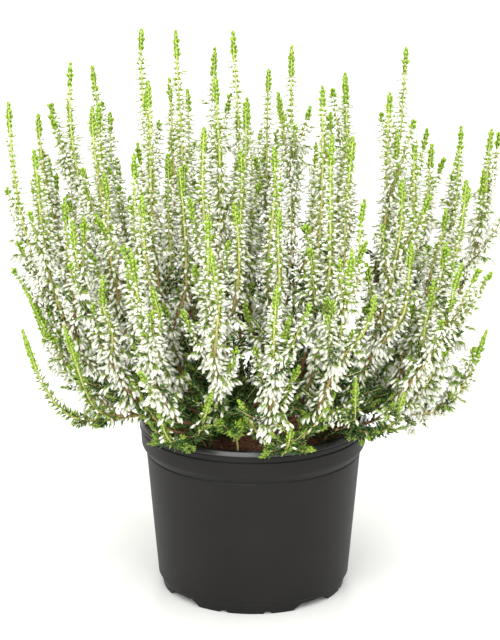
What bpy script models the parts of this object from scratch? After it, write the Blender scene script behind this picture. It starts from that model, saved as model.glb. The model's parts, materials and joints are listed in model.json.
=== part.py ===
"""A white bud-blooming heather in a black nursery pot.

Lengths are metres, +Z is up and the front is -Y. The origin is on the pot's axis, on the
surface that the pot stands on. The plant opens out of the pot like a fan: each spray keeps its
own place in a plan of the canopy, and that plan shrinks towards the compost, so that no two
stems cross. An azimuth is measured from the front towards +X.
"""

import math
import random

import bmesh
import bpy
from mathutils import Matrix, Vector

MM = 0.001
GAP = 0.3 * MM
SEED = 7

# Pot: a 12 cm nursery pot, moulded in one piece
POT_HEIGHT = 93.4 * MM
LIP_RADIUS = 60.0 * MM
LIP_INNER_RADIUS = 56.4 * MM
LIP_BOTTOM = 88.1 * MM
LIP_ROUNDING = 1.2 * MM
ROUNDING_INSET = 1.0 - math.sqrt(0.5)
BAND_TOP_RADIUS = 59.3 * MM
BAND_BOTTOM_RADIUS = 58.9 * MM
BAND_BOTTOM = 79.2 * MM
WALL_TOP = 75.4 * MM
WALL_TOP_RADIUS = 56.6 * MM
WALL_BOTTOM = 7.0 * MM
WALL_BOTTOM_RADIUS = 50.6 * MM
WALL = 1.4 * MM
CORNER = 1.6 * MM
FOOT_LINE_RADIUS = 49.2 * MM
FOOT_LINE = 5.3 * MM
FOOT_RADIUS = 48.1 * MM
FOOT_WIDTH = 3.5 * MM
UNDERSIDE = 4.2 * MM
DRAIN_RADIUS = 6.0 * MM
TURN_STEPS = 28
SHARP_ANGLE = math.radians(30.0)

# Foot ring: four feet, each with two small notches
FOOT_AZIMUTHS = (-5.0, 85.0, 175.0, 265.0)
CUT_OUT_FROM_FOOT = 45.0
CUT_OUT_HALF_WIDTHS = (12.2 * MM, 7.9 * MM)
CUT_OUT_HEIGHT = 3.5 * MM
NOTCH_FROM_FOOT = 13.8
NOTCH_HALF_WIDTHS = (2.35 * MM, 1.05 * MM)
NOTCH_HEIGHT = 1.6 * MM
CUTTER_DEPTH = 12.0 * MM
CUTTER_OVERRUN = 1.0 * MM

# Compost
SOIL_LEVEL = 87.0 * MM
SOIL_RELIEF = 1.3 * MM
SOIL_RINGS = (14.0 * MM, 28.0 * MM, 42.0 * MM)
SOIL_EDGE_DROP = 1.0 * MM
HOLE_DEPTH = 14.0 * MM
HOLE_SIDES = 6
HOLE_OVERRUN = 8.0 * MM
COLLAR = SOIL_LEVEL + SOIL_RELIEF + 1.0 * MM

# Canopy: how far the plan has opened at the collar, and the height over which it opens on
NECK = 0.32
OPENING = 45.0 * MM

# Main spikes, back row to front row: depth of the row, then (side, tip height) of each, in mm
ROWS = (
    (104, ((-42, 230), (-2, 238), (40, 231))),
    (70, ((-76, 241), (-36, 250), (8, 264), (50, 259), (92, 232))),
    (35, ((-111, 247), (-83, 270), (-57, 292), (-21, 279), (48, 267), (80, 280), (109, 241))),
    (0, ((-123, 261), (-93, 278), (-38, 297), (-9, 295), (20, 289), (92, 236), (121, 247))),
    (-35, ((-109, 244), (-79, 263), (-52, 279), (-18, 278), (34, 276), (68, 270), (105, 229))),
    (-70, ((-87, 217), (-58, 247), (-24, 263), (9, 250), (38, 260), (72, 234), (101, 196))),
    (-107, ((-57, 213), (-23, 226), (11, 195), (46, 209))),
)
STAGGER = 7.0 * MM

# Side spikes lean to the emptiest side of their spray
SIDE_OFFSET = 16.0 * MM
SIDE_DIRECTIONS = 24
SIDE_ROOT = (0.12, 0.24)
SIDE_DROP = (0.12, 0.28)
SIDE_TURN = 40.0 * MM
SIDE_BARE = 14.0 * MM
TWO_SIDES_EVERY = 4
CANOPY_RADIUS = 122.0 * MM

# Woody crowns: one in the middle and four round it
CROWN_SECTORS = 4
SECTOR_START = 20.0
MIDDLE_RADIUS = 46.0 * MM
TRUNK_RADIUS = 3.0 * MM
TRUNK_SIDES = 6
FORK_HEIGHT = COLLAR + 4.0 * MM
JOINT_HEIGHT = 118.0 * MM
BRANCH_RADII = (1.7 * MM, 1.5 * MM, 1.3 * MM)
FORK_STEP = 0.35 * MM

# Spikes
STEM_RADIUS = 1.3 * MM
FLOWER_START = 126.0 * MM
FLOWER_LENGTH = 102.0 * MM
BUD_STEP = 20.0 * MM
CORE_RADII = (2.7 * MM, 2.0 * MM)
BUD_HEIGHTS = (4.3 * MM, 2.7 * MM)
BUD_NOD = 2.0 * MM
BUD_FLARE = 4.5 * MM
TIP_LENGTHS = (15.0 * MM, 24.0 * MM)
TIP_RADII = (1.8 * MM, 2.7 * MM, 1.7 * MM, 0.35 * MM)

# Low sprays: azimuth, reach and tip height of each, in degrees and mm
LOW_SPRAYS = (
    (-104, 121, 146),
    (-69, 124, 152),
    (-31, 90, 120),
    (12, 88, 116),
    (50, 98, 126),
    (76, 122, 148),
    (120, 119, 140),
    (168, 115, 134),
    (-144, 117, 138),
)
LOW_HOLE_RADIUS = 47.0 * MM
LOW_CLEARANCE = 6.5 * MM
LOW_SHARES = ((0.34, 0.0), (0.64, 0.1), (0.85, 0.45), (1.0, 1.0))
LOW_STEM_RADIUS = 1.2 * MM
LOW_STEMS = (0.0, 0.16, 0.34, 0.44)
LOW_FLOWERS = 0.5
LOW_TIP = 0.12
LOW_SIDE_SHOOTS = ((0.48, -52.0), (0.58, 48.0))
LOW_SIDE_LENGTH = 17.0 * MM
LOW_DROOP = 0.18
SIDE_SHOOT_RADII = (0.9 * MM, 2.0 * MM, 1.2 * MM, 0.35 * MM)

# Forks of the low sprays: the share where each leaves and how far it swings aside, in degrees.
# A bend is the share of its swing, of its way out and of its rise, and a fork is half as long
# as its spray.
LOW_FORKS = ((0.37, -17.0), (0.41, 17.0))
LOW_FORK_BENDS = ((0.55, 0.5, 0.22), (1.0, 1.0, 1.0))
LOW_FORK_LENGTH = 0.5
LOW_FORK_SHORT = 6.0 * MM
LOW_FORK_RISE = 12.0 * MM
LOW_FORK_FLOWERS = 0.3
LOW_FORK_TIP = 0.22

# Leafy shoots: azimuth and length of each, in degrees and mm
LEAFY_SHOOTS = ((-9, 17), (-50, 14), (29, 15))
LEAFY_HOLE_RADIUS = 50.0 * MM
LEAFY_STEMS = (0.0, 0.25, 0.42)
LEAFY_START = 0.5
LEAFY_RADII = (2.1 * MM, 1.1 * MM, 2.1 * MM, 1.1 * MM, 2.0 * MM, 1.0 * MM, 1.7 * MM, 0.35 * MM)
LEAFY_PAIRS = ((0.55, 13.0), (0.74, 11.0))
LEAFY_RISE = ((0.4, 0.4), (1.0, 0.6))
LEAFY_ANGLE = 48.0

# Steps for the direction of a route, along its height or its share
PATH_STEP = 0.5 * MM
LOW_PATH_STEP = 0.005

# Slots of the plant's materials
WOOD, FLOWER, TIP, NEEDLES = range(4)


def material(name, colour, roughness, metallic=0.0):
    """Make a Principled material from a linear colour."""
    made = bpy.data.materials.new(name)
    made.use_nodes = True
    shader = made.node_tree.nodes["Principled BSDF"]
    shader.inputs["Base Color"].default_value = (*colour, 1.0)
    shader.inputs["Roughness"].default_value = roughness
    shader.inputs["Metallic"].default_value = metallic
    made.diffuse_color = (*colour, 1.0)
    return made


def new_object(name, mesh, collection, materials):
    """Add a mesh to a collection as an object with its materials."""
    made = bpy.data.objects.new(name, mesh)
    mesh.materials.clear()
    for finish in materials:
        mesh.materials.append(finish)
    collection.objects.link(made)
    return made


def new_collection(name):
    """Add a collection to the scene."""
    made = bpy.data.collections.new(name)
    bpy.context.scene.collection.children.link(made)
    return made


def hide_cutter(cutter):
    """Keep a cutter out of the finished object."""
    cutter.hide_render = True
    cutter.display_type = "WIRE"


def outward(azimuth):
    """Give the level direction of an azimuth in degrees."""
    angle = math.radians(azimuth)
    return Vector((math.sin(angle), -math.cos(angle), 0.0))


def blend(start, end, share):
    """Give the value a share of the way from start to end."""
    return start + (end - start) * share


def ease(share):
    """Give a smooth step from 0 to 1."""
    share = min(max(share, 0.0), 1.0)
    return share * share * (3.0 - 2.0 * share)


def settle(made):
    """Apply an object's modifiers."""
    depsgraph = bpy.context.evaluated_depsgraph_get()
    mesh = bpy.data.meshes.new_from_object(made.evaluated_get(depsgraph))
    spare = made.data
    made.modifiers.clear()
    made.data = mesh
    mesh.name = spare.name
    bpy.data.meshes.remove(spare)


def turned(name, outline, collection, materials):
    """Turn an outline of (radius, height) points round the Z axis."""
    mesh = bpy.data.meshes.new(name)
    corners = [(radius, 0.0, height) for radius, height in outline]
    sides = [(number, number + 1) for number in range(len(outline) - 1)]
    if outline[0][0] > 0.0:
        sides.append((len(outline) - 1, 0))
    mesh.from_pydata(corners, sides, [])
    made = new_object(name, mesh, collection, materials)
    screw = made.modifiers.new("Turn", "SCREW")
    screw.axis = "Z"
    screw.steps = TURN_STEPS
    screw.render_steps = TURN_STEPS
    screw.use_merge_vertices = True
    screw.merge_threshold = 0.01 * MM
    settle(made)
    made.data.shade_smooth()
    made.data.set_sharp_from_angle(angle=SHARP_ANGLE)
    return made


def subtract(made, cutters):
    """Cut every object of a collection out of another object."""
    cut = made.modifiers.new("Cut", "BOOLEAN")
    cut.operation = "DIFFERENCE"
    cut.operand_type = "COLLECTION"
    cut.collection = cutters
    cut.solver = "EXACT"


def foot_cutter(azimuth, half_widths, height, cutters):
    """Make a wedge that cuts a gap, wider at the bottom, through the foot ring."""
    cutter = bmesh.new()
    bmesh.ops.create_cube(cutter, size=1.0)
    bottom, top = half_widths
    low = bottom + (bottom - top) * CUTTER_OVERRUN / height
    for vert in cutter.verts:
        upper = vert.co.z > 0.0
        vert.co.x *= 2.0 * (top if upper else low)
        vert.co.y = -FOOT_RADIUS + FOOT_WIDTH / 2.0 + vert.co.y * CUTTER_DEPTH
        vert.co.z = height if upper else -CUTTER_OVERRUN
    bmesh.ops.rotate(cutter, verts=cutter.verts, matrix=Matrix.Rotation(math.radians(azimuth), 3, "Z"))
    mesh = bpy.data.meshes.new("foot_gap")
    cutter.to_mesh(mesh)
    cutter.free()
    hide_cutter(new_object("foot_gap", mesh, cutters, ()))


def make_pot(collection, finish):
    """Make the moulded pot: lip, band, wall, foot ring and drain hole, about one outline."""
    outline = [
        (LIP_INNER_RADIUS + LIP_ROUNDING, POT_HEIGHT),
        (LIP_RADIUS - LIP_ROUNDING, POT_HEIGHT),
        (LIP_RADIUS - LIP_ROUNDING * ROUNDING_INSET, POT_HEIGHT - LIP_ROUNDING * ROUNDING_INSET),
        (LIP_RADIUS, POT_HEIGHT - LIP_ROUNDING),
        (LIP_RADIUS, LIP_BOTTOM),
        (BAND_TOP_RADIUS, LIP_BOTTOM - GAP),
        (BAND_BOTTOM_RADIUS, BAND_BOTTOM),
        (WALL_TOP_RADIUS, WALL_TOP),
        (WALL_BOTTOM_RADIUS, WALL_BOTTOM),
        (FOOT_LINE_RADIUS, FOOT_LINE),
        (FOOT_RADIUS, 0.0),
        (FOOT_RADIUS - FOOT_WIDTH, 0.0),
        (FOOT_RADIUS - FOOT_WIDTH, UNDERSIDE),
        (DRAIN_RADIUS, UNDERSIDE),
        (DRAIN_RADIUS, UNDERSIDE + WALL),
        (WALL_BOTTOM_RADIUS - WALL - CORNER, UNDERSIDE + WALL),
        (WALL_BOTTOM_RADIUS - WALL, UNDERSIDE + WALL + CORNER),
        (WALL_TOP_RADIUS - WALL, WALL_TOP),
        (LIP_INNER_RADIUS, BAND_BOTTOM),
        (LIP_INNER_RADIUS, POT_HEIGHT - LIP_ROUNDING),
    ]
    pot = turned("pot", outline, collection, (finish,))
    cutters = new_collection("foot gaps")
    for foot in FOOT_AZIMUTHS:
        foot_cutter(foot + CUT_OUT_FROM_FOOT, CUT_OUT_HALF_WIDTHS, CUT_OUT_HEIGHT, cutters)
        for side in (-NOTCH_FROM_FOOT, NOTCH_FROM_FOOT):
            foot_cutter(foot + side, NOTCH_HALF_WIDTHS, NOTCH_HEIGHT, cutters)
    subtract(pot, cutters)
    return pot


def make_compost(collection, finish, holes):
    """Make the compost that fills the pot, crumbly on top, with a plain hole for each stem."""
    wall_foot = UNDERSIDE + WALL + GAP
    outline = [
        (0.0, SOIL_LEVEL),
        *((ring, SOIL_LEVEL) for ring in SOIL_RINGS),
        (LIP_INNER_RADIUS - GAP, SOIL_LEVEL - SOIL_EDGE_DROP),
        (LIP_INNER_RADIUS - GAP, BAND_BOTTOM),
        (WALL_TOP_RADIUS - WALL - GAP, WALL_TOP),
        (WALL_BOTTOM_RADIUS - WALL - GAP, wall_foot + CORNER),
        (WALL_BOTTOM_RADIUS - WALL - CORNER - GAP, wall_foot),
        (0.0, wall_foot),
    ]
    compost = turned("compost", outline, collection, (finish,))
    crumbs = random.Random(SEED)
    for vert in compost.data.vertices:
        if vert.co.z > SOIL_LEVEL - 2.0 * SOIL_EDGE_DROP:
            vert.co.z += crumbs.uniform(-SOIL_RELIEF, SOIL_RELIEF)
    cutters = new_collection("planting holes")
    for place, stem_radius in holes:
        hole = bmesh.new()
        radius = (stem_radius + GAP) / math.cos(math.pi / HOLE_SIDES)
        depth = HOLE_DEPTH + HOLE_OVERRUN
        bmesh.ops.create_cone(
            hole, cap_ends=True, segments=HOLE_SIDES, radius1=radius, radius2=radius, depth=depth
        )
        middle = Vector((place.x, place.y, SOIL_LEVEL - HOLE_DEPTH + depth / 2.0))
        bmesh.ops.translate(hole, verts=hole.verts, vec=middle)
        mesh = bpy.data.meshes.new("planting_hole")
        hole.to_mesh(mesh)
        hole.free()
        hide_cutter(new_object("planting_hole", mesh, cutters, ()))
    subtract(compost, cutters)
    return compost


def spread(height):
    """Say how far the plan of the canopy has opened at a height."""
    return 1.0 - (1.0 - NECK) * math.exp(-max(height - COLLAR, 0.0) / OPENING)


def rising(start, end, low, high):
    """Give a stem's route over height, from one place in the plan to another."""

    def route(height):
        place = start.lerp(end, ease((height - low) / (high - low))) * spread(height)
        return Vector((place.x, place.y, height))

    return route


def straight(start, direction):
    """Give a straight route over the distance from its start."""
    return lambda distance: start + direction * distance


def through(points):
    """Give a smooth route through points, over 0 to 1."""
    count = len(points) - 1

    def route(share):
        number = min(max(int(share * count), 0), count - 1)
        rest = share * count - number
        near, far = points[number], points[number + 1]
        before = points[number - 1] if number else near * 2.0 - far
        after = points[number + 2] if number + 2 <= count else far * 2.0 - near
        slope = (far - before) / 2.0
        bend = before - near * 2.5 + far * 2.0 - after / 2.0
        twist = (after - before) / 2.0 + (near - far) * 1.5
        return near + slope * rest + bend * rest**2 + twist * rest**3

    return route


def skin(route, sections, sides=3, step=PATH_STEP):
    """Skin a stem with rings across its route, each turned half a side on from the last.

    A section is (place on the route, radius, bud height, slot), and the last two are those of the
    faces that follow it. A face with a bud height is raised to a nodding point.
    """
    stem = bmesh.new()
    across = None
    last = None
    for number, (place, radius, bud, slot) in enumerate(sections):
        along = (route(place + step) - route(place - step)).normalized()
        across = across or along.orthogonal()
        across = (across - along * across.dot(along)).normalized()
        beside = along.cross(across)
        ring = []
        for corner in range(sides):
            turn = math.tau * (corner + number / 2.0) / sides
            offset = across * math.cos(turn) + beside * math.sin(turn)
            ring.append(stem.verts.new(route(place) + offset * radius))
        if last is None:
            stem.faces.new(reversed(ring)).material_index = slot
        else:
            before, raised, colour = last
            band = []
            for corner in range(sides):
                follow = (corner + 1) % sides
                band.append(stem.faces.new((before[corner], before[follow], ring[corner])))
                band.append(stem.faces.new((ring[corner], before[follow], ring[follow])))
            for face in band:
                face.material_index = colour
            if raised:
                points = bmesh.ops.poke(stem, faces=band, offset=raised)["verts"]
                for point in points:
                    point.co -= along * BUD_NOD
        last = (ring, bud, slot)
    stem.faces.new(last[0]).material_index = last[2]
    mesh = bpy.data.meshes.new("stem")
    stem.to_mesh(mesh)
    stem.free()
    return mesh


def fuse(name, meshes, collection, materials):
    """Join stems that are sunk into each other in one body."""
    first, *rest = meshes
    made = new_object(name, first, collection, materials)
    if rest:
        branches = new_collection("branches")
        for mesh in rest:
            new_object("branch", mesh, branches, materials)
        union = made.modifiers.new("Union", "BOOLEAN")
        union.operation = "UNION"
        union.operand_type = "COLLECTION"
        union.collection = branches
        union.solver = "EXACT"
        settle(made)
        for branch in list(branches.objects):
            bpy.data.objects.remove(branch)
        bpy.data.collections.remove(branches)
    return made


def flower_sections(start, end, tip_length, step=BUD_STEP):
    """List the sections of a flowering spike, from its first buds to its leafy tip."""
    tip_start = end - tip_length
    count = max(round((tip_start - start) / step), 2)
    sections = []
    for number in range(count):
        share = number / count
        radius = blend(*CORE_RADII, share)
        sections.append((blend(start, tip_start, share), radius, blend(*BUD_HEIGHTS, share), FLOWER))
    return sections + plain_sections(tip_start, end, TIP_RADII, TIP)


def plain_sections(start, end, radii, slot):
    """List evenly spaced sections with no buds."""
    last = len(radii) - 1
    return [(blend(start, end, number / last), radius, 0.0, slot) for number, radius in enumerate(radii)]


def side_shoot(route, share, lean, droop, length):
    """Skin a short leafy side shoot that leaves a route to one side."""
    root = route(share)
    along = (route(share + LOW_PATH_STEP) - root).normalized()
    aside = Matrix.Rotation(math.radians(lean), 3, "Z") @ along
    aside = (aside - Vector((0.0, 0.0, droop))).normalized()
    return skin(straight(root, aside), plain_sections(0.0, length, SIDE_SHOOT_RADII, NEEDLES))


def main_spikes():
    """List the main spikes: place in the plan and tip height."""
    spikes = []
    for depth, row in ROWS:
        for number, (side, tip) in enumerate(row):
            back = depth * MM + STAGGER * (1 if number % 2 else -1)
            place = Vector((side * MM, back)) / spread(tip * MM)
            spikes.append((place, tip * MM))
    return spikes


def side_spikes(spikes):
    """Give each main spike one or two side spikes, each leaning to the emptiest side."""
    taken = [place for place, _ in spikes]
    sides = []
    for number, (place, _) in enumerate(spikes):
        own = []
        others = [other for other in taken if other is not place]
        for _ in range(1 if number % TWO_SIDES_EVERY else 2):
            options = []
            for direction in range(SIDE_DIRECTIONS):
                turn = math.tau * direction / SIDE_DIRECTIONS
                option = place + Vector((math.cos(turn), math.sin(turn))) * SIDE_OFFSET
                if option.length < CANOPY_RADIUS:
                    options.append(option)
            best = max(options, key=lambda option: min((option - other).length for other in others))
            others.append(best)
            taken.append(best)
            own.append(best)
        sides.append(own)
    return sides


def make_sprays(collection, materials, spikes):
    """Make the flowering sprays: a main spike with its side spikes."""
    draw = random.Random(SEED)
    for number, ((place, tip), sides) in enumerate(zip(spikes, side_spikes(spikes)), 1):
        main = rising(place, place, JOINT_HEIGHT, tip)
        length = tip - JOINT_HEIGHT
        start = max(FLOWER_START, tip - FLOWER_LENGTH - TIP_LENGTHS[1])
        meshes = [skin(main, [
            (JOINT_HEIGHT + GAP / 2.0, STEM_RADIUS, 0.0, WOOD),
            (start - BUD_FLARE, STEM_RADIUS, 0.0, WOOD),
            *flower_sections(start, tip, draw.uniform(*TIP_LENGTHS)),
        ])]
        for side in sides:
            root = JOINT_HEIGHT + length * draw.uniform(*SIDE_ROOT)
            end = tip - length * draw.uniform(*SIDE_DROP)
            leaning = rising(place, side, root, root + SIDE_TURN)
            meshes.append(skin(leaning, [
                (root, STEM_RADIUS, 0.0, WOOD),
                *flower_sections(root + SIDE_BARE, end, draw.uniform(*TIP_LENGTHS)),
            ]))
        fuse(f"spray_{number:02d}", meshes, collection, materials)


def low_route(azimuth, reach, tip):
    """Give the route of a low spray: out of its hole, over the lip, level, and up at the end."""
    away = outward(azimuth)
    over = POT_HEIGHT + LOW_CLEARANCE
    places = [
        (LOW_HOLE_RADIUS, SOIL_LEVEL - HOLE_DEPTH + GAP),
        (LOW_HOLE_RADIUS, COLLAR),
        (LIP_RADIUS, over),
    ]
    places += [(blend(LIP_RADIUS, reach, out), blend(over, tip, up)) for out, up in LOW_SHARES]
    return through([away * radius + Vector((0.0, 0.0, height)) for radius, height in places])


def fork_route(spray, share, swing):
    """Give the route of a fork, which swings to one side of its low spray and ends higher."""
    azimuth, reach, tip = spray
    root = low_route(azimuth, reach * MM, tip * MM)(share)
    radius = math.hypot(root.x, root.y)
    far = reach * MM - LOW_FORK_SHORT
    high = tip * MM + LOW_FORK_RISE
    places = [root]
    for turn, out, up in LOW_FORK_BENDS:
        level = outward(azimuth + swing * turn) * blend(radius, far, out)
        places.append(level + Vector((0.0, 0.0, blend(root.z, high, up))))
    return through(places)


def make_low_sprays(collection, materials):
    """Make the low sprays at the edge, each with two forks and leafy side shoots."""
    for number, (azimuth, reach, tip) in enumerate(LOW_SPRAYS, 1):
        route = low_route(azimuth, reach * MM, tip * MM)
        sections = [(share, LOW_STEM_RADIUS, 0.0, WOOD) for share in LOW_STEMS]
        step = BUD_STEP / reach / MM
        sections += flower_sections(LOW_FLOWERS, 1.0, LOW_TIP, step)
        meshes = [skin(route, sections, step=LOW_PATH_STEP)]
        for share, lean in LOW_SIDE_SHOOTS:
            meshes.append(side_shoot(route, share, lean, LOW_DROOP, LOW_SIDE_LENGTH))
        for share, swing in LOW_FORKS:
            fork = fork_route((azimuth, reach, tip), share, swing)
            sections = [(0.0, LOW_STEM_RADIUS, 0.0, WOOD)]
            sections += flower_sections(LOW_FORK_FLOWERS, 1.0, LOW_FORK_TIP, step / LOW_FORK_LENGTH)
            meshes.append(skin(fork, sections, step=LOW_PATH_STEP))
        fuse(f"low_spray_{number}", meshes, collection, materials)


def leafy_route(azimuth, length):
    """Give the route of a leafy shoot: up out of its hole and out above the lip."""
    away = outward(azimuth)
    over = POT_HEIGHT + LOW_CLEARANCE
    places = [
        (LEAFY_HOLE_RADIUS, SOIL_LEVEL - HOLE_DEPTH + GAP),
        (LEAFY_HOLE_RADIUS, COLLAR),
        (blend(LEAFY_HOLE_RADIUS, LIP_RADIUS, 0.5), over),
    ]
    places += [(LIP_RADIUS + out * length, over + up * length) for out, up in LEAFY_RISE]
    return through([away * radius + Vector((0.0, 0.0, height)) for radius, height in places])


def make_leafy_shoots(collection, materials):
    """Make the leafy shoots at the lip: a fan of small side shoots on a short stem."""
    for number, (azimuth, length) in enumerate(LEAFY_SHOOTS, 1):
        route = leafy_route(azimuth, length * MM)
        sections = [(share, LOW_STEM_RADIUS, 0.0, WOOD) for share in LEAFY_STEMS]
        sections += plain_sections(LEAFY_START, 1.0, LEAFY_RADII, NEEDLES)
        meshes = [skin(route, sections, step=LOW_PATH_STEP)]
        for share, reach in LEAFY_PAIRS:
            for lean in (-LEAFY_ANGLE, LEAFY_ANGLE):
                meshes.append(side_shoot(route, share, lean, 0.0, reach * MM))
        fuse(f"leafy_shoot_{number}", meshes, collection, materials)


def crowns_of(spikes):
    """Share the spikes among the crowns, and give each crown's place in the plan."""
    groups = [[] for _ in range(CROWN_SECTORS + 1)]
    for place, _ in spikes:
        angle = (math.degrees(math.atan2(place.y, place.x)) - SECTOR_START) % 360.0
        sector = 0 if place.length < MIDDLE_RADIUS else 1 + int(angle * CROWN_SECTORS / 360.0)
        groups[sector].append(place)
    return [(sum(group, Vector((0.0, 0.0))) / len(group), group) for group in groups]


def make_crowns(collection, materials, crowns):
    """Make the woody crowns: a short trunk that forks into a stem for each spray."""
    for number, (middle, group) in enumerate(crowns, 1):
        trunk = rising(middle, middle, SOIL_LEVEL, FORK_HEIGHT)
        heights = (SOIL_LEVEL - HOLE_DEPTH + GAP, COLLAR, FORK_HEIGHT)
        meshes = [skin(trunk, [(height, TRUNK_RADIUS, 0.0, WOOD) for height in heights], TRUNK_SIDES)]
        for order, place in enumerate(group):
            low = COLLAR + order * FORK_STEP
            high = JOINT_HEIGHT - GAP / 2.0
            branch = rising(middle, place, low, JOINT_HEIGHT)
            meshes.append(skin(branch, plain_sections(low, high, BRANCH_RADII, WOOD)))
        fuse(f"crown_{number}", meshes, collection, materials)


def main():
    """Make the potted heather."""
    for old in list(bpy.data.objects):
        bpy.data.objects.remove(old)
    collection = new_collection("potted_heather")
    plastic = material("pot plastic", (0.012, 0.012, 0.013), 0.42)
    peat = material("peat compost", (0.075, 0.032, 0.018), 0.95)
    plant = (
        material("heather wood", (0.14, 0.07, 0.035), 0.85),
        material("white buds", (0.82, 0.83, 0.74), 0.6),
        material("lime tips", (0.28, 0.55, 0.06), 0.6),
        material("green needles", (0.06, 0.14, 0.02), 0.6),
    )
    spikes = main_spikes()
    crowns = crowns_of(spikes)
    make_pot(collection, plastic)
    holes = [(middle * spread(SOIL_LEVEL), TRUNK_RADIUS) for middle, _ in crowns]
    holes += [(outward(azimuth) * LOW_HOLE_RADIUS, LOW_STEM_RADIUS) for azimuth, _, _ in LOW_SPRAYS]
    holes += [(outward(azimuth) * LEAFY_HOLE_RADIUS, LOW_STEM_RADIUS) for azimuth, _ in LEAFY_SHOOTS]
    make_compost(collection, peat, holes)
    make_crowns(collection, plant, crowns)
    make_sprays(collection, plant, spikes)
    make_low_sprays(collection, plant)
    make_leafy_shoots(collection, plant)


main()
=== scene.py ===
"""Dresses a packed potted heather: white buds, lime tips and dark needles in a black nursery pot.

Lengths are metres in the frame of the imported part, +Z is up and the front is -Y. Every stem
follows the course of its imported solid, from the same sizes and the same seeded draws, so the
buds and leaves stand where the solids do. An azimuth is measured from the front towards +X.
"""

import json
import logging
import math
import random
from collections.abc import Callable, Sequence
from dataclasses import dataclass, field
from enum import Enum

import bmesh
import bpy
import numpy as np
from mathutils import Matrix, Vector, noise

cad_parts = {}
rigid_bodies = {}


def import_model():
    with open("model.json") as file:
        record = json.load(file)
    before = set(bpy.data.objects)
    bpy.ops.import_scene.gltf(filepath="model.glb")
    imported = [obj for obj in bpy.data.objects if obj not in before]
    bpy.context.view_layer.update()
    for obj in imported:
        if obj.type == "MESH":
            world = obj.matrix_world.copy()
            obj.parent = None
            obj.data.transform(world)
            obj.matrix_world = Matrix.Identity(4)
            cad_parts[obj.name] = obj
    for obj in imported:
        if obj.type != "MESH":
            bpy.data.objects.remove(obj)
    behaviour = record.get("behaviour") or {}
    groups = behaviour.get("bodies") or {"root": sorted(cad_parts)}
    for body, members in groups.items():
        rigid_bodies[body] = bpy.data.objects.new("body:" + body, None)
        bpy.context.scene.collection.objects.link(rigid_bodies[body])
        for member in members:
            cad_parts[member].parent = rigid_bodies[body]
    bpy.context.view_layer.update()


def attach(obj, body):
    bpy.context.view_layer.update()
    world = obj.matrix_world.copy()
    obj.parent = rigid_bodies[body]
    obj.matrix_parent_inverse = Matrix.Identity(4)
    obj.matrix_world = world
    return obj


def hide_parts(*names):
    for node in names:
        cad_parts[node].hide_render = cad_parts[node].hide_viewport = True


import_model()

MM = 0.001
GAP = 0.3 * MM
SEED = 7
BODY = "root"
UP = Vector((0.0, 0.0, 1.0))
LOG = logging.getLogger("heather")

Route = Callable[[float], Vector]
Stops = Sequence[tuple[float, str]]


def blend(start: float, end: float, share: float) -> float:
    """Gives the value a share of the way from start to end."""
    return start + (end - start) * share


def ease(share: float) -> float:
    """Gives a smooth step from 0 to 1."""
    share = min(max(share, 0.0), 1.0)
    return share * share * (3.0 - 2.0 * share)


def outward(azimuth: float) -> Vector:
    """Gives the level direction of an azimuth in degrees."""
    angle = math.radians(azimuth)
    return Vector((math.sin(angle), -math.cos(angle), 0.0))


def linear(code: str) -> tuple[float, float, float, float]:
    """Turns an sRGB hex code into a linear colour.

    Args:
        code: The colour as six hex digits after a hash.

    Returns:
        Red, green, blue and an alpha of one.
    """
    parts = [int(code[place : place + 2], 16) / 255.0 for place in (1, 3, 5)]
    red, green, blue = (p / 12.92 if p <= 0.04045 else ((p + 0.055) / 1.055) ** 2.4 for p in parts)
    return red, green, blue, 1.0


def through(points: Sequence[Vector]) -> Route:
    """Gives a smooth route through points.

    Args:
        points: The places that it passes, evenly spread over the shares from 0 to 1.

    Returns:
        The route.
    """
    count = len(points) - 1

    def route(share: float) -> Vector:
        """Gives the place at a share of the way."""
        number = min(max(int(share * count), 0), count - 1)
        rest = share * count - number
        near, far = points[number], points[number + 1]
        before = points[number - 1] if number else near * 2.0 - far
        after = points[number + 2] if number + 2 <= count else far * 2.0 - near
        slope = (far - before) / 2.0
        bend = before - near * 2.5 + far * 2.0 - after / 2.0
        twist = (after - before) / 2.0 + (near - far) * 1.5
        return near + slope * rest + bend * rest**2 + twist * rest**3

    return route


class Course:
    """A stem's course, measured in metres along its own length."""

    def __init__(self, route: Route, low: float, high: float, steps: int = 48) -> None:
        """Samples a route between two of its marks.

        Args:
            route: Gives a place for each mark.
            low: The mark where the course begins.
            high: The mark where it ends.
            steps: How many samples it takes.
        """
        self.marks = np.linspace(low, high, steps + 1)
        self.places = np.array([route(mark) for mark in self.marks])
        paces = np.linalg.norm(np.diff(self.places, axis=0), axis=1)
        self.run = np.concatenate(([0.0], np.cumsum(paces)))

    @property
    def length(self) -> float:
        """Gives the whole length of the course."""
        return float(self.run[-1])

    def distance(self, mark: float) -> float:
        """Gives the distance at which the route's mark is reached."""
        return float(np.interp(mark, self.marks, self.run))

    def at(self, distance: float) -> Vector:
        """Gives the place at a distance."""
        return Vector([float(np.interp(distance, self.run, axis)) for axis in self.places.T])

    def along(self, distance: float) -> Vector:
        """Gives the direction at a distance.

        Args:
            distance: How far from the course's start.

        Returns:
            The direction, of length one.
        """
        step = 0.4 * MM
        near = min(max(distance, step), self.length - step)
        return (self.at(near + step) - self.at(near - step)).normalized()


@dataclass(frozen=True)
class Form:
    """One small closed shape that is copied many times. It grows from the origin along +Z."""

    points: np.ndarray
    corners: np.ndarray
    sizes: np.ndarray
    along: np.ndarray


def flatten(faces: Sequence[Sequence[int]]) -> tuple[np.ndarray, np.ndarray]:
    """Gives the corners of all the faces in one row, and how many each face has."""
    return np.array([corner for face in faces for corner in face]), np.array([len(face) for face in faces])


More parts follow.
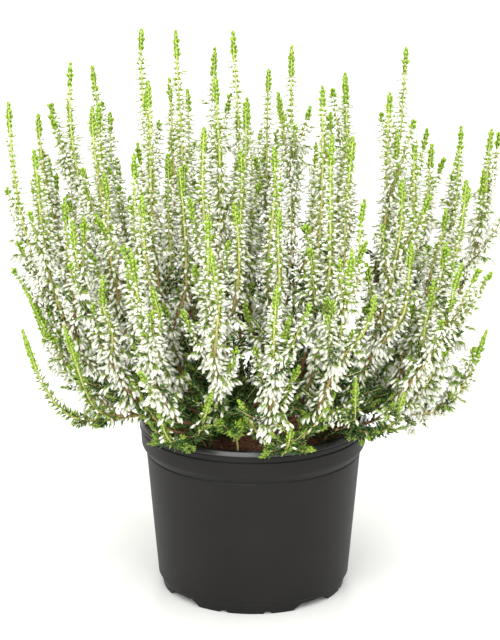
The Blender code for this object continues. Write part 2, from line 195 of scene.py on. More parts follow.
def bands(rings: int, sides: int, first: int = 0) -> list[tuple[int, ...]]:
    """Lists the four-cornered faces between rings of points that follow each other.

    Args:
        rings: How many rings there are.
        sides: How many points a ring has.
        first: The number of the first ring's first point.

    Returns:
        The corners of each face.
    """
    faces = []
    for ring in range(rings - 1):
        start = first + ring * sides
        for corner in range(sides):
            follow = (corner + 1) % sides
            faces.append((start + corner, start + follow, start + sides + follow, start + sides + corner))
    return faces


def grown(rings: Sequence[tuple[float, float]], sides: int, flat: float = 1.0, bend: float = 0.0) -> Form:
    """Skins a form of length 1 and width 1 round +Z, with a point at its root and at its tip.

    Args:
        rings: The share of the length and the half width of each ring, from the root.
        sides: How many corners a ring has.
        flat: How thick the form is, as a share of its width.
        bend: How far its point leans to +X, as a share of its width.

    Returns:
        The closed form.
    """
    points = [(0.0, 0.0, 0.0)]
    for share, half in rings:
        for corner in range(sides):
            turn = math.tau * corner / sides
            across = 0.5 * half * math.cos(turn) * flat
            points.append((across + bend * share**2, 0.5 * half * math.sin(turn), share))
    points.append((bend, 0.0, 1.0))
    faces = [(0, 1 + (corner + 1) % sides, 1 + corner) for corner in range(sides)]
    faces += bands(len(rings), sides, 1)
    last = 1 + (len(rings) - 1) * sides
    faces += [(last + corner, last + (corner + 1) % sides, len(points) - 1) for corner in range(sides)]
    return Form(np.array(points), *flatten(faces), np.array([point[2] for point in points]))


def crumb_form() -> Form:
    """Makes a small rounded lump, about 1 across.

    Returns:
        The closed form.
    """
    ball = bmesh.new()
    bmesh.ops.create_icosphere(ball, subdivisions=1, radius=0.5)
    points = np.array([vert.co[:] for vert in ball.verts])
    corners = np.array([vert.index for face in ball.faces for vert in face.verts])
    sizes = np.full(len(ball.faces), 3)
    ball.free()
    return Form(points, corners, sizes, points[:, 2] + 0.5)


class MeshStore:
    """Gathers the vertices and faces of one piece, with the two shares that its finish reads."""

    def __init__(self) -> None:
        """Starts an empty store."""
        self.points: list[np.ndarray] = []
        self.corners: list[np.ndarray] = []
        self.sizes: list[np.ndarray] = []
        self.slots: list[np.ndarray] = []
        self.along: list[np.ndarray] = []
        self.tone: list[np.ndarray] = []
        self.count = 0

    def add(
        self,
        points: np.ndarray,
        corners: np.ndarray,
        sizes: np.ndarray,
        along: np.ndarray,
        tone: np.ndarray,
        slot: int = 0,
    ) -> None:
        """Adds faces with their points.

        Args:
            points: The places of the points, one row each.
            corners: The points of each face in turn, counted from this batch's first point.
            sizes: How many corners each face has.
            along: The share along its leaf, bud or stem of each point.
            tone: A share from 0 to 1 that varies the colour of each point.
            slot: The material slot of the faces.
        """
        self.points.append(points)
        self.corners.append(corners + self.count)
        self.sizes.append(sizes)
        self.slots.append(np.full(len(sizes), slot))
        self.along.append(along)
        self.tone.append(tone)
        self.count += len(points)

    def to_object(self, name: str, finishes: Sequence[bpy.types.Material]) -> bpy.types.Object:
        """Makes the object of everything that was added.

        Args:
            name: The name of the piece.
            finishes: The materials of its slots.

        Returns:
            The new object, in the scene.
        """
        points = np.concatenate(self.points)
        corners = np.concatenate(self.corners)
        sizes = np.concatenate(self.sizes)
        mesh = bpy.data.meshes.new(name)
        mesh.vertices.add(len(points))
        mesh.vertices.foreach_set("co", points.astype(np.float32).ravel())
        mesh.loops.add(len(corners))
        mesh.loops.foreach_set("vertex_index", corners.astype(np.int32))
        mesh.polygons.add(len(sizes))
        mesh.polygons.foreach_set("loop_start", (np.cumsum(sizes) - sizes).astype(np.int32))
        for finish in finishes:
            mesh.materials.append(finish)
        mesh.polygons.foreach_set("material_index", np.concatenate(self.slots).astype(np.int32))
        for label, values in (("along", self.along), ("tone", self.tone)):
            attribute = mesh.attributes.new(label, "FLOAT", "POINT")
            attribute.data.foreach_set("value", np.concatenate(values).astype(np.float32))
        mesh.update(calc_edges=True)
        mesh.validate()
        mesh.shade_smooth()
        made = bpy.data.objects.new(name, mesh)
        bpy.context.scene.collection.objects.link(made)
        return made


@dataclass
class Copies:
    """Where the copies of one form stand."""

    form: Form
    places: list[tuple] = field(default_factory=list)

    def add(self, root: Vector, way: Vector, side: Vector, length: float, width: float, tone: float) -> None:
        """Adds one copy.

        Args:
            root: Where it grows from.
            way: The direction that it grows in.
            side: The direction that it bends towards.
            length: Its length.
            width: Its width.
            tone: The share that varies its colour.
        """
        self.places.append((*root, *way, *side, length, width, tone))

    def pour(self, store: MeshStore, slot: int = 0) -> None:
        """Adds the meshes of all the copies to a store.

        Args:
            store: Where they go.
            slot: The material slot of their faces.
        """
        if not self.places:
            return
        table = np.array(self.places)
        roots, ways, sides = table[:, 0:3], table[:, 3:6], table[:, 6:9]
        lengths, widths, tones = table[:, 9], table[:, 10], table[:, 11]
        ways = ways / np.linalg.norm(ways, axis=1, keepdims=True)
        sides = sides - ways * np.sum(sides * ways, axis=1, keepdims=True)
        sides = sides / np.maximum(np.linalg.norm(sides, axis=1, keepdims=True), 1e-9)
        others = np.cross(ways, sides)
        shape, count = self.form.points, len(table)
        points = roots[:, None, :] + ways[:, None, :] * (lengths[:, None] * shape[:, 2])[..., None]
        points = points + sides[:, None, :] * (widths[:, None] * shape[:, 0])[..., None]
        points = points + others[:, None, :] * (widths[:, None] * shape[:, 1])[..., None]
        starts = np.arange(count)[:, None] * len(shape)
        store.add(
            points.reshape(-1, 3),
            (self.form.corners[None, :] + starts).ravel(),
            np.tile(self.form.sizes, count),
            np.tile(self.form.along, count),
            np.repeat(tones, len(shape)),
            slot,
        )


def add_tube(
    store: MeshStore,
    course: Course,
    stations: Sequence[float],
    radii: Sequence[float],
    ages: Sequence[float],
    tone: float,
    sides: int = 5,
) -> None:
    """Adds a tapering stem, closed at both ends.

    Args:
        store: Where its faces go.
        course: The course of its middle.
        stations: The distances of its rings.
        radii: The radius at each ring.
        ages: How young the bark is at each ring, from 0 for old wood to 1 for green shoots.
        tone: The share that varies its colour.
        sides: How many corners a ring has.
    """
    across = course.along(stations[0]).orthogonal()
    rows = []
    for station, radius in zip(stations, radii):
        along = course.along(station)
        across = (across - along * across.dot(along)).normalized()
        beside = along.cross(across)
        middle = course.at(station)
        for corner in range(sides):
            turn = math.tau * corner / sides
            rows.append(middle + (across * math.cos(turn) + beside * math.sin(turn)) * radius)
    last = (len(stations) - 1) * sides
    faces = [tuple(range(sides))[::-1], *bands(len(stations), sides), tuple(range(last, last + sides))]
    youth = np.repeat(np.array(ages, float), sides)
    store.add(np.array(rows), *flatten(faces), youth, np.full(len(rows), tone))


def add_taper(
    store: MeshStore,
    course: Course,
    stretches: int,
    radii: tuple[float, float],
    ages: tuple[float, float],
    tone: float,
    sides: int,
) -> None:
    """Adds a stem that tapers evenly from one end of a course to the other.

    Args:
        store: Where its faces go.
        course: The course of its middle.
        stretches: How many stretches it is made of.
        radii: Its radius at the foot and at the end.
        ages: How young its bark is at the foot and at the end.
        tone: The share that varies its colour.
        sides: How many corners a ring has.
    """
    shares = [ring / stretches for ring in range(stretches + 1)]
    add_tube(
        store,
        course,
        [course.length * share for share in shares],
        [blend(*radii, share) for share in shares],
        [blend(*ages, share) for share in shares],
        tone,
        sides,
    )


def set_stops(ramp: bpy.types.ColorRamp, stops: Stops) -> None:
    """Gives a new colour ramp its colours.

    Args:
        ramp: The ramp, with its two first stops.
        stops: The place and the hex colour of each stop, in order.
    """
    ends = ((ramp.elements[0], stops[0]), (ramp.elements[1], stops[-1]))
    for element, (place, code) in ends:
        element.position = place
        element.color = linear(code)
    for place, code in stops[1:-1]:
        ramp.elements.new(place).color = linear(code)


def add_node(
    tree: bpy.types.NodeTree,
    kind: str,
    settings: dict | None = None,
    links: dict | None = None,
) -> bpy.types.Node:
    """Adds a node with its settings and links.

    Args:
        tree: The node tree.
        kind: The node's type, without its shader prefix.
        settings: Values of its inputs, by name or number, or of its own properties, or a ramp's stops.
        links: The output that feeds each of its inputs, by the input's name or number.

    Returns:
        The new node.
    """
    node = tree.nodes.new("ShaderNode" + kind)
    for label, value in (settings or {}).items():
        if label == "stops":
            set_stops(node.color_ramp, value)
        elif isinstance(label, int) or label in node.inputs:
            node.inputs[label].default_value = value
        else:
            setattr(node, label, value)
    for label, output in (links or {}).items():
        tree.links.new(output, node.inputs[label])
    return node


def new_finish(name: str) -> tuple[bpy.types.Material, bpy.types.NodeTree, bpy.types.Node]:
    """Makes a Principled material with nothing set.

    Args:
        name: The material's name.

    Returns:
        The material, its node tree and its shader.
    """
    made = bpy.data.materials.new(name)
    made.use_nodes = True
    tree = made.node_tree
    return made, tree, tree.nodes["Principled BSDF"]


def grain_size(millimetres: float) -> float:
    """Gives the noise scale whose features are this far apart."""
    return 1.0 / (millimetres * MM)


@dataclass(frozen=True)
class MouldedPolypropylene:
    """Carbon-black polypropylene, injection moulded: satin, with a fine spark-eroded grain."""

    name: str = "moulded_polypropylene"
    colour: str = "#181717"
    worn_colour: str = "#1d1c1b"
    worn_shares: tuple[float, float] = (0.3, 0.75)  # of the marks, where the wear starts and is full
    roughness: float = 0.52
    roughness_range: float = 0.1
    specular: float = 0.2  # the grain scatters part of the gloss
    ior: float = 1.49
    grain: float = 0.9  # mm. The real grain is about 0.1 mm, too fine to show here
    flow: float = 26.0  # mm between the soft marks of the flowing plastic

    def build(self) -> bpy.types.Material:
        """Makes the material.

        Returns:
            The material.
        """
        made, tree, shader = new_finish(self.name)
        place = add_node(tree, "TexCoord").outputs["Object"]
        marks = add_node(
            tree, "TexNoise", {"Scale": grain_size(self.flow), "Detail": 3.0}, {"Vector": place}
        )
        stops = tuple(zip(self.worn_shares, (self.colour, self.worn_colour)))
        shade = add_node(tree, "ValToRGB", {"stops": stops}, {"Fac": marks.outputs["Fac"]})
        tree.links.new(shade.outputs["Color"], shader.inputs["Base Color"])
        fine = add_node(
            tree, "TexNoise", {"Scale": grain_size(self.grain), "Detail": 2.0}, {"Vector": place}
        )
        bump = add_node(
            tree, "Bump", {"Strength": 0.12, "Distance": 0.05 * MM}, {"Height": fine.outputs["Fac"]}
        )
        tree.links.new(bump.outputs["Normal"], shader.inputs["Normal"])
        smoothest = self.roughness - self.roughness_range / 2.0
        varied = add_node(
            tree,
            "Math",
            {"operation": "MULTIPLY_ADD", 1: self.roughness_range, 2: smoothest},
            {0: marks.outputs["Fac"]},
        )
        tree.links.new(varied.outputs[0], shader.inputs["Roughness"])
        shader.inputs["IOR"].default_value = self.ior
        shader.inputs["Specular IOR Level"].default_value = self.specular
        return made


@dataclass(frozen=True)
class PeatCompost:
    """Fibrous bark and peat, milled and packed: matt, with browns that change crumb by crumb."""

    stops: Stops = ((0.25, "#33200f"), (0.5, "#74482f"), (0.78, "#ab7659"))
    crumb: float = 1.6  # mm between crumbs
    piece_contrast: float = 0.45  # how much each loose crumb and fibre differs from the next
    darkening: float = 0.2
    roughness: float = 0.95

    def build(self) -> bpy.types.Material:
        """Makes the material.

        Returns:
            The material.
        """
        made, tree, shader = new_finish("peat_compost")
        place = add_node(tree, "TexCoord").outputs["Object"]
        crumbs = add_node(
            tree, "TexNoise", {"Scale": grain_size(self.crumb), "Detail": 5.0}, {"Vector": place}
        )
        tone = add_node(tree, "Attribute", {"attribute_name": "tone"}).outputs["Fac"]
        mixed = add_node(
            tree,
            "Math",
            {"operation": "MULTIPLY_ADD", 1: self.piece_contrast},
            {0: tone, 2: crumbs.outputs["Fac"]},
        )
        lowered = add_node(tree, "Math", {"operation": "SUBTRACT", 1: self.darkening}, {0: mixed.outputs[0]})
        shade = add_node(tree, "ValToRGB", {"stops": self.stops}, {"Fac": lowered.outputs[0]})
        tree.links.new(shade.outputs["Color"], shader.inputs["Base Color"])
        bump = add_node(
            tree, "Bump", {"Strength": 0.7, "Distance": 0.5 * MM}, {"Height": crumbs.outputs["Fac"]}
        )
        tree.links.new(bump.outputs["Normal"], shader.inputs["Normal"])
        shader.inputs["Roughness"].default_value = self.roughness
        return made


@dataclass(frozen=True)
class HeatherBark:
    """Lignified stem: red-brown and flaky where it is old, smooth and yellow-green where young."""

    stops: Stops = (
        (0.0, "#4b3427"),
        (0.2, "#84583f"),
        (0.42, "#b98a66"),
        (0.6, "#cbba76"),
        (1.0, "#cfdb80"),
    )
    flake: float = 0.8  # mm between the flakes of the bark
    flake_contrast: float = 0.24
    roughness: float = 0.7

    def build(self) -> bpy.types.Material:
        """Makes the material.

        Returns:
            The material.
        """
        made, tree, shader = new_finish("heather_bark")
        place = add_node(tree, "TexCoord").outputs["Object"]
        flakes = add_node(
            tree, "TexNoise", {"Scale": grain_size(self.flake), "Detail": 3.0}, {"Vector": place}
        )
        age = add_node(tree, "Attribute", {"attribute_name": "along"}).outputs["Fac"]
        uneven = add_node(
            tree,
            "Math",
            {"operation": "MULTIPLY_ADD", 1: self.flake_contrast},
            {0: flakes.outputs["Fac"], 2: age},
        )
        lowered = add_node(
            tree, "Math", {"operation": "SUBTRACT", 1: self.flake_contrast / 2.0}, {0: uneven.outputs[0]}
        )
        shade = add_node(tree, "ValToRGB", {"stops": self.stops}, {"Fac": lowered.outputs[0]})
        tree.links.new(shade.outputs["Color"], shader.inputs["Base Color"])
        bump = add_node(
            tree, "Bump", {"Strength": 0.4, "Distance": 0.15 * MM}, {"Height": flakes.outputs["Fac"]}
        )
        tree.links.new(bump.outputs["Normal"], shader.inputs["Normal"])
        shader.inputs["Roughness"].default_value = self.roughness
        return made


@dataclass(frozen=True)
class LivingTissue:
    """A leaf or a petal-like sepal: soft sheen, light through it, and a colour from root to tip."""

    name: str
    stops: Stops
    other_stops: Stops
    roughness: float
    subsurface: float
    mottle: float = 1.2  # mm between the soft blotches of the skin
    mottle_contrast: float = 0.3
    light_depth: float = 0.6  # mm that light goes into the tissue

    def build(self) -> bpy.types.Material:
        """Makes the material.

        Returns:
            The material.
        """
        made, tree, shader = new_finish(self.name)
        along = add_node(tree, "Attribute", {"attribute_name": "along"}).outputs["Fac"]
        tone = add_node(tree, "Attribute", {"attribute_name": "tone"}).outputs["Fac"]
        place = add_node(tree, "TexCoord").outputs["Object"]
        blotches = add_node(
            tree, "TexNoise", {"Scale": grain_size(self.mottle), "Detail": 1.0}, {"Vector": place}
        )
        uneven = add_node(
            tree,
            "Math",
            {"operation": "MULTIPLY_ADD", 1: self.mottle_contrast},
            {0: blotches.outputs["Fac"], 2: tone},
        )
        share = add_node(
            tree,
            "Math",
            {"operation": "SUBTRACT", "use_clamp": True, 1: self.mottle_contrast / 2.0},
            {0: uneven.outputs[0]},
        )
        shade = add_node(tree, "ValToRGB", {"stops": self.stops}, {"Fac": along})
        other = add_node(tree, "ValToRGB", {"stops": self.other_stops}, {"Fac": along})
        mix = add_node(
            tree,
            "MixRGB",
            links={
                "Fac": share.outputs[0],
                "Color1": shade.outputs["Color"],
                "Color2": other.outputs["Color"],
            },
        )
        tree.links.new(mix.outputs["Color"], shader.inputs["Base Color"])
        shader.inputs["Roughness"].default_value = self.roughness
        shader.inputs["Subsurface Weight"].default_value = self.subsurface
        shader.inputs["Subsurface Radius"].default_value = (1.0, 1.0, 0.6)
        shader.inputs["Subsurface Scale"].default_value = self.light_depth * MM
        return made


class Tissue(Enum):
    """The living surfaces of the plant."""

    SEPAL = LivingTissue(
        "white_sepal",
        ((0.0, "#9cb254"), (0.16, "#dde8b8"), (0.36, "#f5f7e8"), (1.0, "#fdfdf7")),
        ((0.0, "#a9b966"), (0.2, "#e6ecc9"), (0.45, "#f1f3e0"), (1.0, "#f6f5e6")),
        0.5,
        0.3,
    )
    YOUNG_LEAF = LivingTissue(
        "lime_scale_leaf",
        ((0.0, "#769b22"), (0.5, "#8fb42f"), (1.0, "#b9d452")),
        ((0.0, "#62861c"), (0.5, "#7a9f28"), (1.0, "#9dbd40")),
        0.45,
        0.2,
    )
    GREEN_LEAF = LivingTissue(
        "green_scale_leaf",
        ((0.0, "#6f8c2a"), (0.6, "#8dab38"), (1.0, "#b3c956")),
        ((0.0, "#4f6b20"), (0.6, "#6f8e2c"), (1.0, "#90aa40")),
        0.5,
        0.15,
    )
    OLD_LEAF = LivingTissue(
        "dark_scale_leaf",
        ((0.0, "#263f11"), (0.6, "#3b631b"), (1.0, "#5e952b")),
        ((0.0, "#1b2c0d"), (0.6, "#2c4815"), (1.0, "#426d1e")),
        0.5,
        0.1,
    )


class Slot(Enum):
    """The record's material slots."""

    POT = "pot_plastic"
    COMPOST = "peat_compost"
    WOOD = "heather_wood"
    BUDS = "white_buds"
    NEEDLES = "green_needles"


class LeafAge(Enum):
    """The ages of a leaf, and the slot of each age in a leaf piece."""

    YOUNG = 0
    GREEN = 1
    OLD = 2
    TIP = 3


def settle_piece(made: bpy.types.Object, slot: Slot, nodes: Sequence[str]) -> None:
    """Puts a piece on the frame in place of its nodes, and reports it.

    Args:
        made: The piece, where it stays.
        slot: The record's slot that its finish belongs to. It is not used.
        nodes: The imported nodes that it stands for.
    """
    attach(made, BODY)
    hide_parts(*nodes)
    made.data.calc_loop_triangles()
    LOG.info("%s: %d triangles, for %s", made.name, len(made.data.loop_triangles), ", ".join(nodes))


class Growth:
    """The stems, buds and leaves of one part of the plant, each in a piece of its own.

    Every bud, leaf and stalk is a copy of one of its forms.
    """

    BUD = grown(((0.28, 0.95), (0.68, 1.15)), 3, bend=0.1)
    LEAF = grown(((0.42, 1.0),), 3, flat=0.75, bend=0.12)
    TIP = grown(((0.2, 0.75), (0.7, 1.0)), 3, bend=0.15)
    STALK = grown(((0.5, 1.0),), 3)

    def __init__(self, seed: int) -> None:
        """Starts with nothing grown.

        Args:
            seed: The seed of this part's own random draws.
        """
        self.draw = random.Random(seed)
        self.stems = MeshStore()
        self.buds = Copies(self.BUD)
        self.stalks = Copies(self.STALK)
        self.leaves = {age: Copies(self.TIP if age is LeafAge.TIP else self.LEAF) for age in LeafAge}

    def leaf(
        self, root: Vector, way: Vector, side: Vector, length: float, width: float, age: LeafAge
    ) -> None:
        """Adds one scale leaf that bends back towards a side."""
        self.leaves[age].add(root, way, side, length, width, self.draw.random())

    def twig(
        self, root: Vector, way: Vector, length: float, lift: float, radius: float, age: float
    ) -> Course:
        """Adds the bare stem of a small side branch.

        Args:
            root: Where it leaves its stem.
            way: The direction that it starts in.
            length: Its length.
            lift: How far its end rises above that direction, as a share of its length.
            radius: Its radius at the foot.
            age: How young its bark is at the foot.

        Returns:
            Its course.
        """
        halfway = root + way * length * 0.5 + UP * length * lift * 0.25
        course = Course(through([root, halfway, root + (way + UP * lift) * length]), 0.0, 1.0, 10)
        stations = (0.0, course.length * 0.5, course.length)
        radii = (radius, radius * 0.8, radius * 0.45)
        add_tube(self.stems, course, stations, radii, (age, age, 1.0), self.draw.random(), 3)
        return course

    def build(self, name: str, palette: "Palette") -> None:
        """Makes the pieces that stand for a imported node: its stems, its buds if any, and its leaves.

        Args:
            name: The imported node.
            palette: The plant's materials.
        """
        settle_piece(self.stems.to_object(f"{name}_stems", (palette.bark,)), Slot.WOOD, (name,))
        if self.buds.places:
            store = MeshStore()
            self.buds.pour(store)
            settle_piece(store.to_object(f"{name}_buds", (palette.sepal,)), Slot.BUDS, (name,))
        store = MeshStore()
        for age, copies in self.leaves.items():
            copies.pour(store, age.value)
        self.stalks.pour(store, LeafAge.GREEN.value)
        settle_piece(store.to_object(f"{name}_leaves", palette.leaves), Slot.NEEDLES, (name,))


@dataclass(frozen=True)
class Palette:
    """The plant's materials, made once and shared."""

    bark: bpy.types.Material
    sepal: bpy.types.Material
    leaves: tuple[bpy.types.Material, ...]

    @classmethod
    def mixed(cls) -> "Palette":
        """Makes the materials.

        Returns:
            The palette of them all.
        """
        tissues = (Tissue.YOUNG_LEAF, Tissue.GREEN_LEAF, Tissue.OLD_LEAF)
        young, green, old = (tissue.value.build() for tissue in tissues)
        return cls(HeatherBark().build(), Tissue.SEPAL.value.build(), (young, green, old, young))


class Axes:
    """A pair of directions square to a course, which turn with it without twisting."""

    def __init__(self, course: Course, start: float) -> None:
        """Starts square to the course at a distance."""
        self.course = course
        self.across = course.along(start).orthogonal()

    def step(self, distance: float) -> tuple[Vector, Vector, Callable[[float], Vector]]:
        """Moves on to a distance along the course.

        Args:
            distance: The distance.

        Returns:
            The place there, the course's direction, and what turns an angle into a way out.
        """
        along = self.course.along(distance)
        self.across = (self.across - along * self.across.dot(along)).normalized()
        across, beside = self.across, along.cross(self.across)
        return self.course.at(distance), along, lambda turn: across * math.cos(turn) + beside * math.sin(turn)


@dataclass(frozen=True)
class LeafyTwig:
    """A twig clothed in four rows of scale leaves, in pairs that turn a quarter at each step."""

    spacing: float = 1.15 * MM
    leaf_length: float = 2.3 * MM
    leaf_width: float = 0.95 * MM
    stem_radius: float = 0.3 * MM
    knots: float = 3.4 * MM  # length of the bulges that the side buds make
    knot_swell: float = 0.25
    lean: float = 42.0
    closing: float = 0.25  # share of the lean that is left at the end
    closes_from: float = 0.45
    end_size: float = 0.7
    thins_from: float = 0.6
    end_spacing: float = 0.7
    turn_play: float = 0.25
    length_play: tuple[float, float] = (0.85, 1.15)
    spacing_play: tuple[float, float] = (0.9, 1.1)
    bright_tip: float = 0.25
    lift: float = 0.15
    foot_radius: float = 0.35 * MM
    foot_age: float = 0.5
    bare_foot: float = 1.0 * MM

    def clothe(
        self, growth: Growth, course: Course, start: float, end: float, age: LeafAge, tip: LeafAge
    ) -> None:
        """Covers a stretch of a course with leaves.

        Args:
            growth: Where the leaves go.
            course: The twig's course.
            start: The distance of the first pair.
            end: The distance of the twig's end.
            age: The age of the leaves.
            tip: The age of the last leaves.
        """
        draw = growth.draw
        turn = draw.uniform(0.0, math.tau)
        phase = draw.uniform(0.0, math.tau)
        axes = Axes(course, start)
        distance = start
        while distance < end:
            share = (distance - start) / (end - start)
            middle, along, outside = axes.step(distance)
            swell = 1.0 + self.knot_swell * math.sin(phase + math.tau * distance / self.knots)
            closed = ease((share - self.closes_from) / (1.0 - self.closes_from))
            lean = math.radians(self.lean * swell * blend(1.0, self.closing, closed))
            thinned = ease((share - self.thins_from) / (1.0 - self.thins_from))
            size = swell * blend(1.0, self.end_size, thinned)
            shown = tip if share > 1.0 - self.bright_tip else age
            for half in (0.0, math.pi):
                out = outside(turn + half + draw.uniform(-self.turn_play, self.turn_play))
                way = along * math.cos(lean) + out * math.sin(lean)
                length = self.leaf_length * size * draw.uniform(*self.length_play)
                root = middle + out * self.stem_radius
                growth.leaf(root, way, -out, length, self.leaf_width * size, shown)
            turn += math.pi / 2.0
            distance += self.spacing * blend(1.0, self.end_spacing, share) * draw.uniform(*self.spacing_play)

    def sprout(
        self, growth: Growth, root: Vector, way: Vector, length: float, age: LeafAge, tip: LeafAge
    ) -> None:
        """Adds a whole leafy twig at a place, which turns up a little at its end."""
        course = growth.twig(root, way, length, self.lift, self.foot_radius, self.foot_age)
        self.clothe(growth, course, self.bare_foot, course.length, age, tip)


@dataclass(frozen=True)
class Fan:
    """The plan of the canopy and how it opens out of the pot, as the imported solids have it."""

    neck: float = 0.32
    opening: float = 45.0 * MM
    soil_level: float = 87.0 * MM
    collar: float = 89.3 * MM
    joint_height: float = 118.0 * MM
    stagger: float = 7.0 * MM
    rows: tuple = (
        (104, ((-42, 230), (-2, 238), (40, 231))),
        (70, ((-76, 241), (-36, 250), (8, 264), (50, 259), (92, 232))),
        (35, ((-111, 247), (-83, 270), (-57, 292), (-21, 279), (48, 267), (80, 280), (109, 241))),
        (0, ((-123, 261), (-93, 278), (-38, 297), (-9, 295), (20, 289), (92, 236), (121, 247))),
        (-35, ((-109, 244), (-79, 263), (-52, 279), (-18, 278), (34, 276), (68, 270), (105, 229))),
        (-70, ((-87, 217), (-58, 247), (-24, 263), (9, 250), (38, 260), (72, 234), (101, 196))),
        (-107, ((-57, 213), (-23, 226), (11, 195), (46, 209))),
    )
    side_offset: float = 16.0 * MM
    side_directions: int = 24
    two_sides_every: int = 4
    canopy_radius: float = 122.0 * MM
    crown_sectors: int = 4
    sector_start: float = 20.0
    middle_radius: float = 46.0 * MM
    lit_reach: tuple[float, float] = (0.26, 0.32)  # share of the canopy's radius, and over how much
    lit_rise: tuple[float, float] = (140.0 * MM, 55.0 * MM)  # height, and over how much

    def spread(self, height: float) -> float:
        """Says how far the plan has opened at a height."""
        return 1.0 - (1.0 - self.neck) * math.exp(-max(height - self.collar, 0.0) / self.opening)

    def light(self, place: Vector) -> float:
        """Says how much light reaches a place in the canopy.

        Args:
            place: The place.

        Returns:
            A share, from 0 deep inside to 1 outside.
        """
        reach = math.hypot(place.x, place.y) / (self.canopy_radius * self.spread(place.z))
        from_side = (reach - self.lit_reach[0]) / self.lit_reach[1]
        from_above = (place.z - self.lit_rise[0]) / self.lit_rise[1]
        return ease(max(from_side, from_above))

    def rising(self, start: Vector, end: Vector, low: float, high: float) -> Route:
        """Gives a stem's route over height, from one place in the plan to another.

        Args:
            start: Its place in the plan at its foot.
            end: Its place in the plan further up.
            low: The height where it starts to cross to that place.
            high: The height where it is there.

        Returns:
            The route.
        """

        def route(height: float) -> Vector:
            """Gives the place at a height."""
            place = start.lerp(end, ease((height - low) / (high - low))) * self.spread(height)
            return Vector((place.x, place.y, height))

        return route

    def main_spikes(self) -> list[tuple[Vector, float]]:
        """Lists the main spikes.

        Returns:
            The place in the plan and the tip height of each.
        """
        spikes = []
        for depth, row in self.rows:
            for number, (side, tip) in enumerate(row):
                back = depth * MM + self.stagger * (1 if number % 2 else -1)
                place = Vector((side * MM, back)) / self.spread(tip * MM)
                spikes.append((place, tip * MM))
        return spikes

    def side_spikes(self, spikes: Sequence[tuple[Vector, float]]) -> list[list[Vector]]:
        """Places each spray's side spikes, each towards its emptiest side.

        Args:
            spikes: The main spikes.

        Returns:
            The places in the plan of each spray's side spikes.
        """
        taken = [place for place, _ in spikes]
        sides = []
        for number, (place, _) in enumerate(spikes):
            own: list[Vector] = []
            others = [other for other in taken if other is not place]
            for _ in range(1 if number % self.two_sides_every else 2):
                options = []
                for direction in range(self.side_directions):
                    turn = math.tau * direction / self.side_directions
                    option = place + Vector((math.cos(turn), math.sin(turn))) * self.side_offset
                    if option.length < self.canopy_radius:
                        options.append(option)
                best = max(options, key=lambda option: min((option - other).length for other in others))
                others.append(best)
                taken.append(best)
                own.append(best)
            sides.append(own)
        return sides

    def crowns(self, spikes: Sequence[tuple[Vector, float]]) -> list[tuple[Vector, list[Vector]]]:
        """Shares the spikes among the crowns.

        Args:
            spikes: The main spikes.

        Returns:
            Each crown's place in the plan, with the places of its spikes.
        """
        groups: list[list[Vector]] = [[] for _ in range(self.crown_sectors + 1)]
        for place, _ in spikes:
            angle = (math.degrees(math.atan2(place.y, place.x)) - self.sector_start) % 360.0
            inner = place.length < self.middle_radius
            groups[0 if inner else 1 + int(angle * self.crown_sectors / 360.0)].append(place)
        return [(sum(group, Vector((0.0, 0.0))) / len(group), group) for group in groups]


